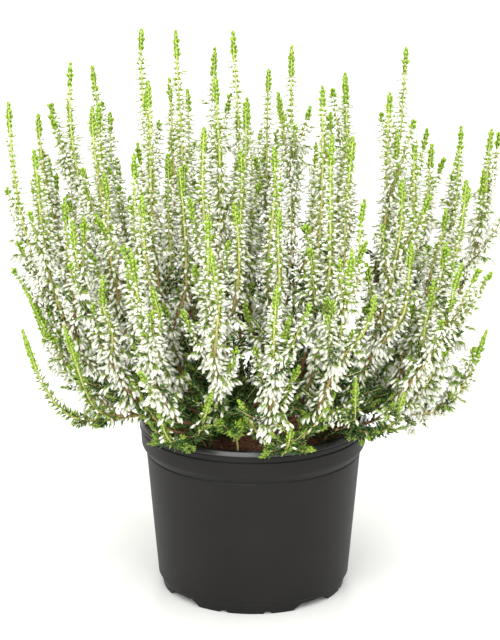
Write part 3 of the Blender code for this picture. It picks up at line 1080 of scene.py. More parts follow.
@dataclass(frozen=True)
class FlowerSpike:
    """A spike of white closed buds, full below and thin above, that ends in a leafy tip.

    Deep in the canopy, where no light reaches it, it bears dark leaves in place of buds.
    """

    canopy: Fan
    spacing: tuple[float, float] = (3.3 * MM, 2.5 * MM)
    buds_round: tuple[float, float] = (3.4, 4.0)
    bud_length: tuple[float, float] = (4.9 * MM, 3.5 * MM)
    bud_width: float = 0.36
    stand_off: tuple[float, float] = (2.0 * MM, 0.9 * MM)
    bare_reach: float = 1.8 * MM  # a bud further from its stem than this shows its stalk
    nod: tuple[float, float] = (-48.0, 6.0)
    stem_radii: tuple[float, float] = (0.85 * MM, 0.65 * MM)
    lowest: float = 0.0
    bract_length: tuple[float, float] = (3.0 * MM, 2.5 * MM)
    bract_width: float = 0.48
    bracts_each: tuple[float, float] = (1.6, 1.7)
    reach_play: tuple[float, float] = (0.5, 1.3)
    nod_play: tuple[float, float] = (-24.0, 22.0)
    raised_nod: tuple[float, float] = (0.0, 30.0)  # of a bud that would hang below the lowest height
    bud_play: tuple[float, float] = (0.8, 1.08)
    bract_leans: tuple[float, float] = (20.0, 80.0)
    bract_swing: float = 0.9
    bract_play: tuple[float, float] = (0.7, 1.15)
    stalk_width: float = 0.5 * MM
    shade_leaf: tuple[float, float] = (3.4 * MM, 1.4 * MM)
    shade_leaves: int = 2
    shade_leans: tuple[float, float] = (25.0, 75.0)
    shade_swing: float = 0.7
    shade_play: tuple[float, float] = (0.7, 1.2)
    shade_green: float = 0.2
    branchlet_chance: float = 0.12
    branchlet_length: tuple[float, float] = (4.0 * MM, 7.5 * MM)
    branchlet_rise: tuple[float, float] = (0.0, 40.0)
    branchlet_swing: tuple[float, float] = (15.0, 75.0)
    branchlet_width: float = 0.7 * MM
    branchlet_spacing: float = 1.7 * MM
    turn_play: float = 0.4
    spacing_play: tuple[float, float] = (0.85, 1.15)
    ring_spacing: float = 5.0 * MM
    age_play: float = 0.12
    lime_from: float = 0.3  # share of the spike from which its bracts are young
    tip_twig: LeafyTwig = LeafyTwig(
        leaf_length=2.7 * MM, leaf_width=1.65 * MM, spacing=1.2 * MM, lean=36.0, knot_swell=0.2
    )

    def stem(self, growth: Growth, course: Course, base: float) -> None:
        """Adds the spike's stem.

        Args:
            growth: Where it goes.
            course: The spike's course.
            base: How young its bark is at the foot.
        """
        count = max(int(course.length / self.ring_spacing), 4)
        shares = [ring / count for ring in range(count + 1)]
        shift = growth.draw.uniform(-self.age_play, self.age_play)
        radii = [blend(*self.stem_radii, ease(share)) for share in shares]
        ages = [min(max(blend(base, 1.05, share) + shift, 0.0), 1.0) for share in shares]
        stations = [course.length * share for share in shares]
        add_tube(growth.stems, course, stations, radii, ages, growth.draw.random(), 4)

    def flower(self, growth: Growth, middle: Vector, out: Vector, along: Vector, share: float) -> None:
        """Adds one bud on its stalk, with the green bracts under it.

        Args:
            growth: Where it goes.
            middle: The middle of its stem.
            out: The direction that it leaves the stem in.
            along: The stem's own direction.
            share: How far up the spike it is, from 0 to 1.
        """
        draw = growth.draw
        reach = blend(*self.stand_off, share) * draw.uniform(*self.reach_play)
        root = middle + out * reach + along * reach * 0.4
        level = Vector((out.x, out.y, out.z * 0.3)).normalized()
        nod = math.radians(blend(*self.nod, ease(share)) + draw.uniform(*self.nod_play))
        length = blend(*self.bud_length, share) * draw.uniform(*self.bud_play)
        if root.z + length * math.sin(nod) < self.lowest:
            nod = math.radians(draw.uniform(*self.raised_nod))
        way = level * math.cos(nod) + UP * math.sin(nod)
        growth.buds.add(root, way, -UP, length, length * self.bud_width, draw.random())
        if reach > self.bare_reach:
            stalk = root - middle
            growth.stalks.add(middle, stalk, UP, stalk.length, self.stalk_width, draw.random())
        age = LeafAge.YOUNG if draw.random() < (share - self.lime_from) * 2.0 else LeafAge.GREEN
        for _ in range(int(blend(*self.bracts_each, share) + draw.random())):
            lean = math.radians(draw.uniform(*self.bract_leans))
            aside = Matrix.Rotation(draw.uniform(-self.bract_swing, self.bract_swing), 3, "Z") @ out
            rise = aside * math.sin(lean) + along * math.cos(lean)
            size = blend(*self.bract_length, share) * draw.uniform(*self.bract_play)
            foot = middle + out * reach * draw.uniform(0.1, 0.8)
            growth.leaf(foot, rise, -out, size, self.bract_width * size, age)

    def shaded(self, growth: Growth, middle: Vector, out: Vector, along: Vector) -> None:
        """Adds a few dark leaves where a bud would be.

        Args:
            growth: Where they go.
            middle: The middle of their stem.
            out: The direction that the bud would leave the stem in.
            along: The stem's own direction.
        """
        draw = growth.draw
        length, width = self.shade_leaf
        for _ in range(self.shade_leaves):
            lean = math.radians(draw.uniform(*self.shade_leans))
            aside = Matrix.Rotation(draw.uniform(-self.shade_swing, self.shade_swing), 3, "Z") @ out
            way = aside * math.sin(lean) + along * math.cos(lean)
            age = LeafAge.GREEN if draw.random() < self.shade_green else LeafAge.OLD
            growth.leaf(middle, way, -out, length * draw.uniform(*self.shade_play), width, age)

    def branchlet(self, growth: Growth, root: Vector, out: Vector, along: Vector, share: float) -> None:
        """Adds a short side branch that carries its own cluster of buds.

        Args:
            growth: Where it goes.
            root: The middle of its stem.
            out: The direction that it leaves the stem in.
            along: The stem's own direction.
            share: How far up the spike it is, from 0 to 1.
        """
        draw = growth.draw
        length = draw.uniform(*self.branchlet_length) * blend(1.0, 0.6, share)
        rise = math.radians(draw.uniform(*self.branchlet_rise))
        way = (out * math.cos(rise) + along * math.sin(rise)).normalized()
        growth.stalks.add(root, way, UP, length, self.branchlet_width, draw.random())
        count = max(int(length / self.branchlet_spacing), 2)
        for number in range(1, count + 1):
            spot = root + way * (length * number / count)
            for hand in (-1.0, 1.0):
                swing = draw.uniform(*self.branchlet_swing) * hand * blend(1.0, 0.5, number / count)
                swing = math.radians(swing)
                self.flower(growth, spot, Matrix.Rotation(swing, 3, "Z") @ out, way, share)

    def bloom(self, growth: Growth, course: Course, start: float, tip: float) -> None:
        """Adds the buds, from the first whorl to the leafy tip.

        Args:
            growth: Where they go.
            course: The spike's course.
            start: The distance of the first whorl.
            tip: The distance where the leafy tip begins.
        """
        draw = growth.draw
        distance = start
        turn = draw.uniform(0.0, math.tau)
        axes = Axes(course, start)
        while distance < tip:
            share = (distance - start) / max(tip - start, MM)
            middle, along, outside = axes.step(distance)
            count = max(round(blend(*self.buds_round, share) + draw.uniform(-0.5, 0.5)), 2)
            light = self.canopy.light(middle)
            for number in range(count):
                play = draw.uniform(-self.turn_play, self.turn_play)
                out = outside(turn + math.tau * number / count + play)
                if draw.random() > light:
                    self.shaded(growth, middle, out, along)
                elif draw.random() < self.branchlet_chance * (1.0 - share):
                    self.branchlet(growth, middle, out, along, share)
                else:
                    self.flower(growth, middle, out, along, share)
            turn += math.pi / 4.0 + draw.uniform(-self.turn_play, self.turn_play) / 2.0
            distance += blend(*self.spacing, share) * draw.uniform(*self.spacing_play)

    def tip(self, growth: Growth, course: Course, start: float) -> None:
        """Adds the lime leafy tip from a distance to the end of the course."""
        self.tip_twig.clothe(growth, course, start, course.length, LeafAge.TIP, LeafAge.TIP)

    def sprout(
        self, growth: Growth, root: Vector, way: Vector, length: float, lift: float, lime: float
    ) -> None:
        """Adds a whole small flowering side branch.

        Args:
            growth: Where it goes.
            root: Where it leaves its stem.
            way: The direction that it starts in.
            length: Its length.
            lift: How far its end rises above that direction, as a share of its length.
            lime: The share of its length that its leafy tip takes.
        """
        course = growth.twig(root, way, length, lift, 0.5 * MM, 0.55)
        self.bloom(growth, course, 2.5 * MM, course.length * (1.0 - lime))
        self.tip(growth, course, course.length * (1.0 - lime))


def swaying(route: Route, low: float, high: float, reach: float, draw: random.Random) -> Route:
    """Lets a stem waver a little along its route, but not at its foot.

    Args:
        route: The route over height.
        low: The height of its foot.
        high: The height of its end.
        reach: How far it may waver to a side.
        draw: What draws how it wavers.

    Returns:
        The wavering route.
    """
    waves = [(draw.uniform(0.7, 1.6), draw.uniform(0.0, math.tau), draw.uniform(0.4, 1.0)) for _ in range(2)]

    def swayed(mark: float) -> Vector:
        """Gives the place at a height.

        Args:
            mark: The height.

        Returns:
            The place.
        """
        share = (mark - low) / (high - low)
        x, y = (reach * size * math.sin(pace * math.tau * share + phase) for pace, phase, size in waves)
        return route(mark) + Vector((x, y, 0.0)) * ease(share * 2.0)

    return swayed


@dataclass(frozen=True)
class Sprays:
    """The flowering sprays: a main spike with side spikes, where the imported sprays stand."""

    fan: Fan = Fan()
    spike: FlowerSpike = FlowerSpike(Fan())
    twig: LeafyTwig = LeafyTwig(leaf_length=3.2 * MM, leaf_width=1.5 * MM, spacing=1.7 * MM)
    flower_start: float = 126.0 * MM
    flower_length: float = 102.0 * MM
    tip_lengths: tuple[float, float] = (15.0 * MM, 24.0 * MM)
    tip_leafy: float = 0.62  # share of the solid's tip that is leafy, with small buds below it
    side_root: tuple[float, float] = (0.12, 0.24)
    side_drop: tuple[float, float] = (0.12, 0.28)
    side_turn: float = 40.0 * MM
    side_bare: float = 14.0 * MM
    sway: float = 1.5 * MM
    extra_low: float = 9.0 * MM  # buds hang this far under the first of the solid
    laterals: int = 5
    lateral_heights: tuple[float, float] = (0.02, 0.66)
    lateral_lengths: tuple[float, float] = (20.0 * MM, 40.0 * MM)
    lateral_leans: tuple[float, float] = (10.0, 30.0)
    lateral_room: float = 0.8  # share of the rest of the spray that a lateral may take
    lateral_lift: float = 0.3
    leafy_chance: float = 0.45
    leafy_tips: tuple[float, float] = (0.15, 0.28)  # share of a lateral that a long leafy tip takes
    short_tip: float = 0.08
    outward_pull: float = 9.0
    leafy_twigs: int = 7
    leafy_height: float = 60.0 * MM
    leafy_leans: tuple[float, float] = (30.0, 75.0)
    leafy_lengths: tuple[float, float] = (8.0 * MM, 17.0 * MM)
    bark_age: float = 0.2

    def grow_spike(
        self, growth: Growth, route: Route, root: float, flowers: float, tip: float, end: float
    ) -> Course:
        """Grows one spike over its route.

        Args:
            growth: Where its parts go.
            route: Its route over height.
            root: The height of its foot.
            flowers: The height of its first buds.
            tip: The height where its leafy tip begins.
            end: The height of its end.

        Returns:
            Its course.
        """
        course = Course(swaying(route, root, end, self.sway, growth.draw), root, end)
        leafy = course.distance(blend(end, tip, self.tip_leafy))
        self.spike.stem(growth, course, self.bark_age)
        self.spike.bloom(growth, course, course.distance(flowers), leafy)
        self.spike.tip(growth, course, leafy)
        return course

    def side_way(self, growth: Growth, course: Course, distance: float, lean: float) -> Vector:
        """Draws a direction for what leaves a course, most often outwards.

        Args:
            growth: Whose draws it takes.
            course: The course.
            distance: Where on the course it leaves.
            lean: The angle to the course in degrees, which is less near the canopy's edge.

        Returns:
            The direction.
        """
        along = course.along(distance)
        place = course.at(distance)
        turn = growth.draw.uniform(0.0, math.tau)
        room = max(1.0 - math.hypot(place.x, place.y) / self.fan.canopy_radius, 0.0)
        level = Vector((math.cos(turn), math.sin(turn), 0.0))
        level += Vector((place.x, place.y, 0.0)) * self.outward_pull * room
        out = (level - along * level.dot(along)).normalized()
        angle = math.radians(lean * (0.5 + min(room * 2.0, 0.5)))
        return along * math.cos(angle) + out * math.sin(angle)

    def grow_sides(self, growth: Growth, main: Course) -> None:
        """Adds flowering side branches and, low down, leafy twigs to a main spike.

        Args:
            growth: Where they go.
            main: The spike's course.
        """
        draw = growth.draw
        for _ in range(self.laterals):
            distance = main.length * draw.uniform(*self.lateral_heights)
            way = self.side_way(growth, main, distance, draw.uniform(*self.lateral_leans))
            reach = min(draw.uniform(*self.lateral_lengths), (main.length - distance) * self.lateral_room)
            leafy = draw.uniform(*self.leafy_tips) if draw.random() < self.leafy_chance else self.short_tip
            self.spike.sprout(growth, main.at(distance), way, reach, self.lateral_lift, leafy)
        for _ in range(self.leafy_twigs):
            distance = draw.uniform(0.0, self.leafy_height)
            way = self.side_way(growth, main, distance, draw.uniform(*self.leafy_leans))
            reach = draw.uniform(*self.leafy_lengths)
            self.twig.sprout(growth, main.at(distance), way, reach, LeafAge.OLD, LeafAge.OLD)

    def build(self, palette: Palette) -> None:
        """Grows every spray and makes its pieces.

        Args:
            palette: The plant's materials.
        """
        spikes = self.fan.main_spikes()
        shared = random.Random(SEED)
        joint = self.fan.joint_height
        for number, ((place, tip), sides) in enumerate(zip(spikes, self.fan.side_spikes(spikes)), 1):
            growth = Growth(SEED * 1000 + number)
            length = tip - joint
            flowers = max(self.flower_start, tip - self.flower_length - self.tip_lengths[1]) - self.extra_low
            lime = shared.uniform(*self.tip_lengths)
            upright = self.fan.rising(place, place, joint, tip)
            main = self.grow_spike(growth, upright, joint, flowers, tip - lime, tip)
            for side in sides:
                root = joint + length * shared.uniform(*self.side_root)
                end = tip - length * shared.uniform(*self.side_drop)
                leaning = self.fan.rising(place, side, root, root + self.side_turn)
                flowers = root + self.side_bare - self.extra_low
                lime = shared.uniform(*self.tip_lengths)
                self.grow_spike(growth, leaning, root, flowers, end - lime, end)
            self.grow_sides(growth, main)
            growth.build(f"spray_{number:02d}", palette)


@dataclass(frozen=True)
class Crowns:
    """The woody crowns: short trunks that fork into a stem for each spray, with leafy twigs."""

    fan: Fan = Fan()
    hole_depth: float = 14.0 * MM
    trunk_radius: float = 3.0 * MM
    fork_height: float = 93.3 * MM
    fork_step: float = 0.35 * MM
    # Of the trunk, from its foot: share of its height, share of its radius, and youth of its bark
    trunk_profile: tuple = (
        (0.0, 0.95, 0.0),
        (0.35, 1.0, 0.02),
        (0.7, 0.98, 0.05),
        (0.85, 0.85, 0.1),
        (1.0, 0.6, 0.12),
    )
    branch_radii: tuple[float, float] = (1.1 * MM, 0.8 * MM)
    branch_ages: tuple[float, float] = (0.08, 0.2)
    twig: LeafyTwig = LeafyTwig(leaf_length=3.4 * MM, leaf_width=1.7 * MM, spacing=1.8 * MM)
    twigs_each: int = 11
    inner_twigs: int = 9  # more of them on the stems of the middle crown
    twig_lengths: tuple[float, float] = (10.0 * MM, 26.0 * MM)
    green_chance: float = 0.15
    outer_radius: float = 84.0 * MM
    rim_twig: LeafyTwig = LeafyTwig(
        leaf_length=2.9 * MM, leaf_width=1.2 * MM, spacing=1.3 * MM, bright_tip=0.35
    )
    rim_twigs: int = 5
    rim_lengths: tuple[float, float] = (13.0 * MM, 24.0 * MM)
    rim_heights: tuple[float, float] = (0.3, 0.95)  # shares of the woody stem
    rim_bright: float = 0.5
    spike: FlowerSpike = FlowerSpike(Fan(), nod=(-55.0, -15.0), lowest=100.0 * MM)
    skirt_each: int = 3
    skirt_lengths: tuple[float, float] = (11.0 * MM, 19.0 * MM)
    skirt_heights: tuple[float, float] = (0.66, 1.0)
    skirt_swing: float = 75.0
    skirt_rise: tuple[float, float] = (-0.1, 0.5)
    skirt_lift: float = -0.1
    skirt_gap: tuple[float, float] = (-112.0, -8.0)  # no flowers hang low over this part of the lip

    def grow_skirt(self, growth: Growth, course: Course) -> None:
        """Adds drooping flowering side branches and leafy twigs at the outer side of an outer stem.

        Args:
            growth: Where they go.
            course: The stem's course.
        """
        draw = growth.draw
        end = course.at(course.length)
        azimuth = math.degrees(math.atan2(end.x, -end.y))
        flowers = 0 if self.skirt_gap[0] < azimuth < self.skirt_gap[1] else self.skirt_each
        for number in range(self.rim_twigs + flowers):
            flowering = number < flowers
            heights = self.skirt_heights if flowering else self.rim_heights
            root = course.at(course.length * draw.uniform(*heights))
            away = Vector((root.x, root.y, 0.0)).normalized()
            swing = math.radians(draw.uniform(-self.skirt_swing, self.skirt_swing))
            aside = Matrix.Rotation(swing, 3, "Z") @ away
            way = (aside + UP * draw.uniform(*self.skirt_rise)).normalized()
            if flowering:
                self.spike.sprout(growth, root, way, draw.uniform(*self.skirt_lengths), self.skirt_lift, 0.0)
            else:
                tip = LeafAge.YOUNG if draw.random() < self.rim_bright else LeafAge.GREEN
                self.rim_twig.sprout(growth, root, way, draw.uniform(*self.rim_lengths), LeafAge.OLD, tip)

    def grow_twigs(self, growth: Growth, course: Course, count: int) -> None:
        """Adds leafy twigs round a woody stem.

        Args:
            growth: Where they go.
            course: The stem's course.
            count: How many there are.
        """
        draw = growth.draw
        for _ in range(count):
            distance = course.length * draw.uniform(0.0, 1.0)
            root = course.at(distance)
            turn = draw.uniform(0.0, math.tau)
            level = Vector((math.cos(turn), math.sin(turn), 0.0))
            away = Vector((root.x, root.y, 0.0)).normalized()
            way = (level + away * 0.5 + course.along(distance) * 0.7).normalized()
            tip = LeafAge.GREEN if draw.random() < self.green_chance else LeafAge.OLD
            self.twig.sprout(growth, root, way, draw.uniform(*self.twig_lengths), LeafAge.OLD, tip)

    def build(self, palette: Palette) -> None:
        """Grows every crown and makes its pieces.

        Args:
            palette: The plant's materials.
        """
        for number, (middle, group) in enumerate(self.fan.crowns(self.fan.main_spikes()), 1):
            growth = Growth(SEED * 2000 + number)
            foot = self.fan.soil_level - self.hole_depth + GAP
            upright = self.fan.rising(middle, middle, foot, self.fork_height)
            trunk = Course(upright, foot, self.fork_height, 12)
            shares, widths, ages = zip(*self.trunk_profile)
            stations = [trunk.length * share for share in shares]
            radii = [self.trunk_radius * width for width in widths]
            add_tube(growth.stems, trunk, stations, radii, ages, 0.5, 10)
            twigs = self.twigs_each + (self.inner_twigs if number == 1 else 0)
            for order, place in enumerate(group):
                low = self.fan.collar + order * self.fork_step
                route = self.fan.rising(middle, place, low, self.fan.joint_height)
                branch = Course(route, low, self.fan.joint_height, 24)
                tone = growth.draw.random()
                add_taper(growth.stems, branch, 8, self.branch_radii, self.branch_ages, tone, 6)
                self.grow_twigs(growth, branch, twigs)
                if place.length > self.outer_radius:
                    self.grow_skirt(growth, branch)
            growth.build(f"crown_{number}", palette)


@dataclass(frozen=True)
class Edge:
    """Where what grows at the edge leaves the compost and passes over the lip."""

    collar: float = 89.3 * MM
    foot: float = 73.3 * MM
    lip_radius: float = 60.0 * MM
    over: float = 99.9 * MM

    def route(
        self, azimuth: float, start: Sequence[tuple[float, float]], then: Sequence[tuple[float, float]]
    ) -> Route:
        """Gives a route in the upright plane of an azimuth.

        Args:
            azimuth: The plane's azimuth in degrees.
            start: Radius and height of its first places.
            then: How far each later place lies beyond the lip, and above the height over it.

        Returns:
            The route, over 0 to 1.
        """
        places = [*start, *((self.lip_radius + out, self.over + up) for out, up in then)]
        return through([outward(azimuth) * radius + UP * height for radius, height in places])


class Habit(Enum):
    """How a branch of a low spray is clothed."""

    FULL = "white buds all along"
    THIN = "small green leaves, with a few buds"
    LEAFY = "dark leaves, with a few buds near the end"


@dataclass(frozen=True)
class LowSprays:
    """The low sprays at the edge: out over the lip, level, and up at the end, with two forks."""

    edge: Edge = Edge()
    spike: FlowerSpike = FlowerSpike(
        Fan(), buds_round=(4.0, 3.2), branchlet_chance=0.25, nod=(-50.0, 0.0), lowest=97.0 * MM
    )
    sparse: FlowerSpike = FlowerSpike(
        Fan(), buds_round=(1.6, 1.6), spacing=(4.6 * MM, 5.0 * MM), branchlet_chance=0.0, nod=(-30.0, 0.0)
    )
    clothing: LeafyTwig = LeafyTwig(
        leaf_length=3.6 * MM,
        leaf_width=1.6 * MM,
        spacing=1.05 * MM,
        lean=62.0,
        closing=0.9,
        knots=5.0 * MM,
        knot_swell=0.4,
    )
    # Of each low spray: azimuth, how far out it ends and how high, in mm, and its habit
    sprays: tuple = (
        (-104, 121, 146, Habit.THIN),
        (-69, 124, 152, Habit.THIN),
        (-31, 90, 120, Habit.LEAFY),
        (12, 88, 116, Habit.LEAFY),
        (50, 98, 126, Habit.LEAFY),
        (76, 122, 148, Habit.FULL),
        (120, 119, 140, Habit.FULL),
        (168, 115, 134, Habit.FULL),
        (-144, 117, 138, Habit.FULL),
    )
    leafy_from: float = 0.12
    leafy_flowers: float = 0.6  # how far the buds of a leafy branch start towards its tip
    bark_age: float = 0.3
    hole_radius: float = 47.0 * MM
    shares: tuple = ((0.34, 0.0), (0.64, 0.1), (0.85, 0.45), (1.0, 1.0))
    flowers: float = 0.5
    lime: float = 0.12
    forks: tuple = ((0.37, -17.0), (0.41, 17.0))
    fork_bends: tuple = ((0.55, 0.5, 0.22), (1.0, 1.0, 1.0))
    fork_short: float = 6.0 * MM
    fork_rise: float = 12.0 * MM
    fork_flowers: float = 0.2
    fork_lime: float = 0.22
    laterals: int = 5
    lateral_lengths: tuple[float, float] = (11.0 * MM, 22.0 * MM)
    lateral_swing: tuple[float, float] = (25.0, 60.0)
    lateral_rise: tuple[float, float] = (-0.1, 0.45)
    lateral_lift: float = 0.25
    lateral_limes: tuple[float, float] = (0.0, 0.35)
    twig: LeafyTwig = LeafyTwig(leaf_length=2.9 * MM, leaf_width=1.3 * MM, bright_tip=0.35)
    # Where each twig leaves its spray, as a share, and how far it leans aside, in degrees
    packed_twigs: tuple = ((0.48, -52.0), (0.58, 48.0))
    more_twigs: tuple = (
        (0.36, 58.0),
        (0.4, -60.0),
        (0.44, 40.0),
        (0.5, -66.0),
        (0.54, 60.0),
        (0.64, -55.0),
    )
    leafy_rounds: int = 3  # how often a leafy spray gets them
    twig_play: tuple[float, float] = (-0.1, 0.25)
    twig_shares: tuple[float, float] = (0.5, 0.85)
    twig_bright: float = 0.5
    twig_length: float = 17.0 * MM
    droop: float = 0.18

    def route(self, azimuth: float, reach: float, tip: float) -> Route:
        """Gives the route of one low spray, over 0 to 1.

        Args:
            azimuth: Where it leaves the pot, in degrees.
            reach: How far from the pot's axis it ends.
            tip: The height of its end.

        Returns:
            The route.
        """
        start = ((self.hole_radius, self.edge.foot), (self.hole_radius, self.edge.collar))
        far, high = reach - self.edge.lip_radius, tip - self.edge.over
        over = ((0.0, 0.0), *((far * out, high * up) for out, up in self.shares))
        return self.edge.route(azimuth, start, over)

    def fork_route(self, azimuth: float, reach: float, tip: float, share: float, swing: float) -> Route:
        """Gives the route of a fork, which swings to one side of its low spray.

        Args:
            azimuth: Where its low spray leaves the pot, in degrees.
            reach: How far from the pot's axis its low spray ends.
            tip: The height of its low spray's end.
            share: The share of its low spray where it leaves.
            swing: How far it swings aside, in degrees.

        Returns:
            The route, over 0 to 1.
        """
        root = self.route(azimuth, reach, tip)(share)
        radius = math.hypot(root.x, root.y)
        places = [root]
        for turn, out, up in self.fork_bends:
            level = outward(azimuth + swing * turn) * blend(radius, reach - self.fork_short, out)
            places.append(level + UP * blend(root.z, tip + self.fork_rise, up))
        return through(places)

    def grow_branch(
        self, growth: Growth, course: Course, flowers: float, lime: float, habit: Habit
    ) -> None:
        """Grows a branch by its habit.

        Args:
            growth: Where its parts go.
            course: Its course.
            flowers: The distance of its first buds.
            lime: The distance where its leafy tip begins.
            habit: How it is clothed.
        """
        draw = growth.draw
        self.spike.stem(growth, course, self.bark_age)
        self.spike.tip(growth, course, lime)
        if habit is not Habit.FULL:
            leafy = habit is Habit.LEAFY
            start = course.length * self.leafy_from
            age = LeafAge.OLD if leafy else LeafAge.GREEN
            self.clothing.clothe(growth, course, start, lime, age, LeafAge.GREEN)
            first = blend(flowers, lime, self.leafy_flowers) if leafy else flowers
            self.sparse.bloom(growth, course, first, lime)
            return
        self.spike.bloom(growth, course, flowers, lime)
        for number in range(self.laterals):
            distance = blend(flowers * 0.8, lime * 0.95, (number + draw.random()) / self.laterals)
            swing = math.radians(draw.uniform(*self.lateral_swing)) * (1.0 if number % 2 else -1.0)
            aside = (Matrix.Rotation(swing, 3, "Z") @ course.along(distance)).normalized()
            way = (aside + UP * draw.uniform(*self.lateral_rise)).normalized()
            reach = draw.uniform(*self.lateral_lengths)
            tip = draw.uniform(*self.lateral_limes)
            self.spike.sprout(growth, course.at(distance), way, reach, self.lateral_lift, tip)

    def grow_twig(self, growth: Growth, course: Course, share: float, lean: float, length: float) -> None:
        """Adds a leafy twig that leaves the spray to one side.

        Args:
            growth: Where it goes.
            course: The spray's course.
            share: The share of the spray where it leaves.
            lean: How far it leans aside, in degrees.
            length: Its length.
        """
        distance = course.distance(share)
        aside = Matrix.Rotation(math.radians(lean), 3, "Z") @ course.along(distance)
        way = (aside - UP * self.droop).normalized()
        tip = LeafAge.YOUNG if growth.draw.random() < self.twig_bright else LeafAge.GREEN
        self.twig.sprout(growth, course.at(distance), way, length, LeafAge.OLD, tip)

    def build(self, palette: Palette) -> None:
        """Grows every low spray and makes its pieces.

        Args:
            palette: The plant's materials.
        """
        for number, (azimuth, reach, tip, habit) in enumerate(self.sprays, 1):
            growth = Growth(SEED * 3000 + number)
            draw = growth.draw
            course = Course(self.route(azimuth, reach * MM, tip * MM), 0.0, 1.0, 80)
            lime = course.distance(1.0 - self.lime)
            self.grow_branch(growth, course, course.distance(self.flowers), lime, habit)
            for share, swing in self.forks:
                fork = Course(self.fork_route(azimuth, reach * MM, tip * MM, share, swing), 0.0, 1.0)
                lime = fork.distance(1.0 - self.fork_lime)
                fork_habit = Habit.FULL if habit is Habit.THIN and swing < 0.0 else habit
                self.grow_branch(growth, fork, fork.distance(self.fork_flowers), lime, fork_habit)
            for share, lean in self.packed_twigs:
                self.grow_twig(growth, course, share, lean, self.twig_length)
            for share, lean in self.more_twigs * (self.leafy_rounds if habit is Habit.LEAFY else 1):
                side = share + draw.uniform(*self.twig_play)
                length = self.twig_length * draw.uniform(*self.twig_shares)
                self.grow_twig(growth, course, side, lean, length)
            growth.build(f"low_spray_{number}", palette)


@dataclass(frozen=True)
class LeafyShoots:
    """The small flowerless shoots at the lip: a star of short leafy twigs."""

    edge: Edge = Edge()
    shoots: tuple = ((-9, 17), (-50, 14), (29, 15))  # azimuth, and length past the lip in mm
    hole_radius: float = 50.0 * MM
    rise: tuple = ((0.4, 0.4), (1.0, 0.6))  # shares of the length: outwards and upwards
    radii: tuple[float, float] = (0.75 * MM, 0.3 * MM)
    ages: tuple[float, float] = (0.5, 1.0)
    leafy: float = 0.42
    # Where each pair of twigs leaves the shoot, as a share, and its length in mm
    packed_pairs: tuple = ((0.55, 13.0), (0.74, 11.0))
    more_pairs: tuple = ((0.48, 9.0), (0.62, 12.0), (0.68, 10.0), (0.84, 9.0))
    more_rounds: int = 2
    more_rise: tuple[float, float] = (0.3, 1.1)
    angle: float = 48.0
    angle_play: tuple[float, float] = (0.75, 1.25)
    twig: LeafyTwig = LeafyTwig(leaf_length=3.1 * MM, leaf_width=1.5 * MM, lean=50.0, bright_tip=0.45)

    def build(self, palette: Palette) -> None:
        """Grows every leafy shoot and makes its pieces.

        Args:
            palette: The plant's materials.
        """
        for number, (azimuth, length) in enumerate(self.shoots, 1):
            growth = Growth(SEED * 4000 + number)
            draw = growth.draw
            start = (
                (self.hole_radius, self.edge.foot),
                (self.hole_radius, self.edge.collar),
                (blend(self.hole_radius, self.edge.lip_radius, 0.5), self.edge.over),
            )
            then = [(out * length * MM, up * length * MM) for out, up in self.rise]
            course = Course(self.edge.route(azimuth, start, then), 0.0, 1.0, 40)
            add_taper(growth.stems, course, 10, self.radii, self.ages, 0.5, 5)
            first = course.distance(self.leafy)
            self.twig.clothe(growth, course, first, course.length, LeafAge.GREEN, LeafAge.YOUNG)
            for share, side in self.packed_pairs + self.more_pairs * self.more_rounds:
                steep = 0.0 if (share, side) in self.packed_pairs else draw.uniform(*self.more_rise)
                base = LeafAge.OLD if steep > 0.0 else LeafAge.GREEN
                for hand in (-1.0, 1.0):
                    distance = course.distance(share)
                    lean = math.radians(self.angle * hand * draw.uniform(*self.angle_play))
                    way = (Matrix.Rotation(lean, 3, "Z") @ course.along(distance) + UP * steep).normalized()
                    self.twig.sprout(growth, course.at(distance), way, side * MM, base, LeafAge.YOUNG)
            growth.build(f"leafy_shoot_{number}", palette)


def rounded(corners: Sequence[tuple[float, float, float]], steps: int = 4) -> list[tuple[float, float]]:
    """Rounds the corners of a closed outline.

    Args:
        corners: Radius, height and how much is rounded off, of each corner, all in mm.
        steps: How many points a rounded corner gets, less one.

    Returns:
        The outline in metres.
    """
    outline = []
    for number, (radius, height, rounding) in enumerate(corners):
        here = Vector((radius, height))
        if not rounding:
            outline.append((radius * MM, height * MM))
            continue
        before = Vector(corners[number - 1][:2]) - here
        after = Vector(corners[(number + 1) % len(corners)][:2]) - here
        start = here + before.normalized() * rounding
        end = here + after.normalized() * rounding
        for step in range(steps + 1):
            share = step / steps
            spot = start.lerp(here, share).lerp(here.lerp(end, share), share)
            outline.append((spot.x * MM, spot.y * MM))
    return outline


def turned(name: str, outline: Sequence[tuple[float, float]], steps: int) -> bpy.types.Object:
    """Turns a closed outline that stays clear of the axis into a ring-shaped object.

    Args:
        name: The object's name.
        outline: Radius and height of each point.
        steps: How many copies of the outline go round the axis.

    Returns:
        The new object, in the scene.
    """
    count = len(outline)
    turns = np.arange(steps) * math.tau / steps
    shape = np.array(outline)
    points = np.stack(
        [
            shape[:, None, 0] * np.cos(turns),
            shape[:, None, 0] * np.sin(turns),
            np.repeat(shape[:, 1:2], steps, axis=1),
        ],
        axis=-1,
    ).reshape(-1, 3)
    faces = []
    for ring in range(count):
        below = (ring + 1) % count
        for step in range(steps):
            follow = (step + 1) % steps
            faces.append(
                (ring * steps + step, below * steps + step, below * steps + follow, ring * steps + follow)
            )
    mesh = bpy.data.meshes.new(name)
    mesh.from_pydata(points.tolist(), [], faces)
    made = bpy.data.objects.new(name, mesh)
    bpy.context.scene.collection.objects.link(made)
    return made


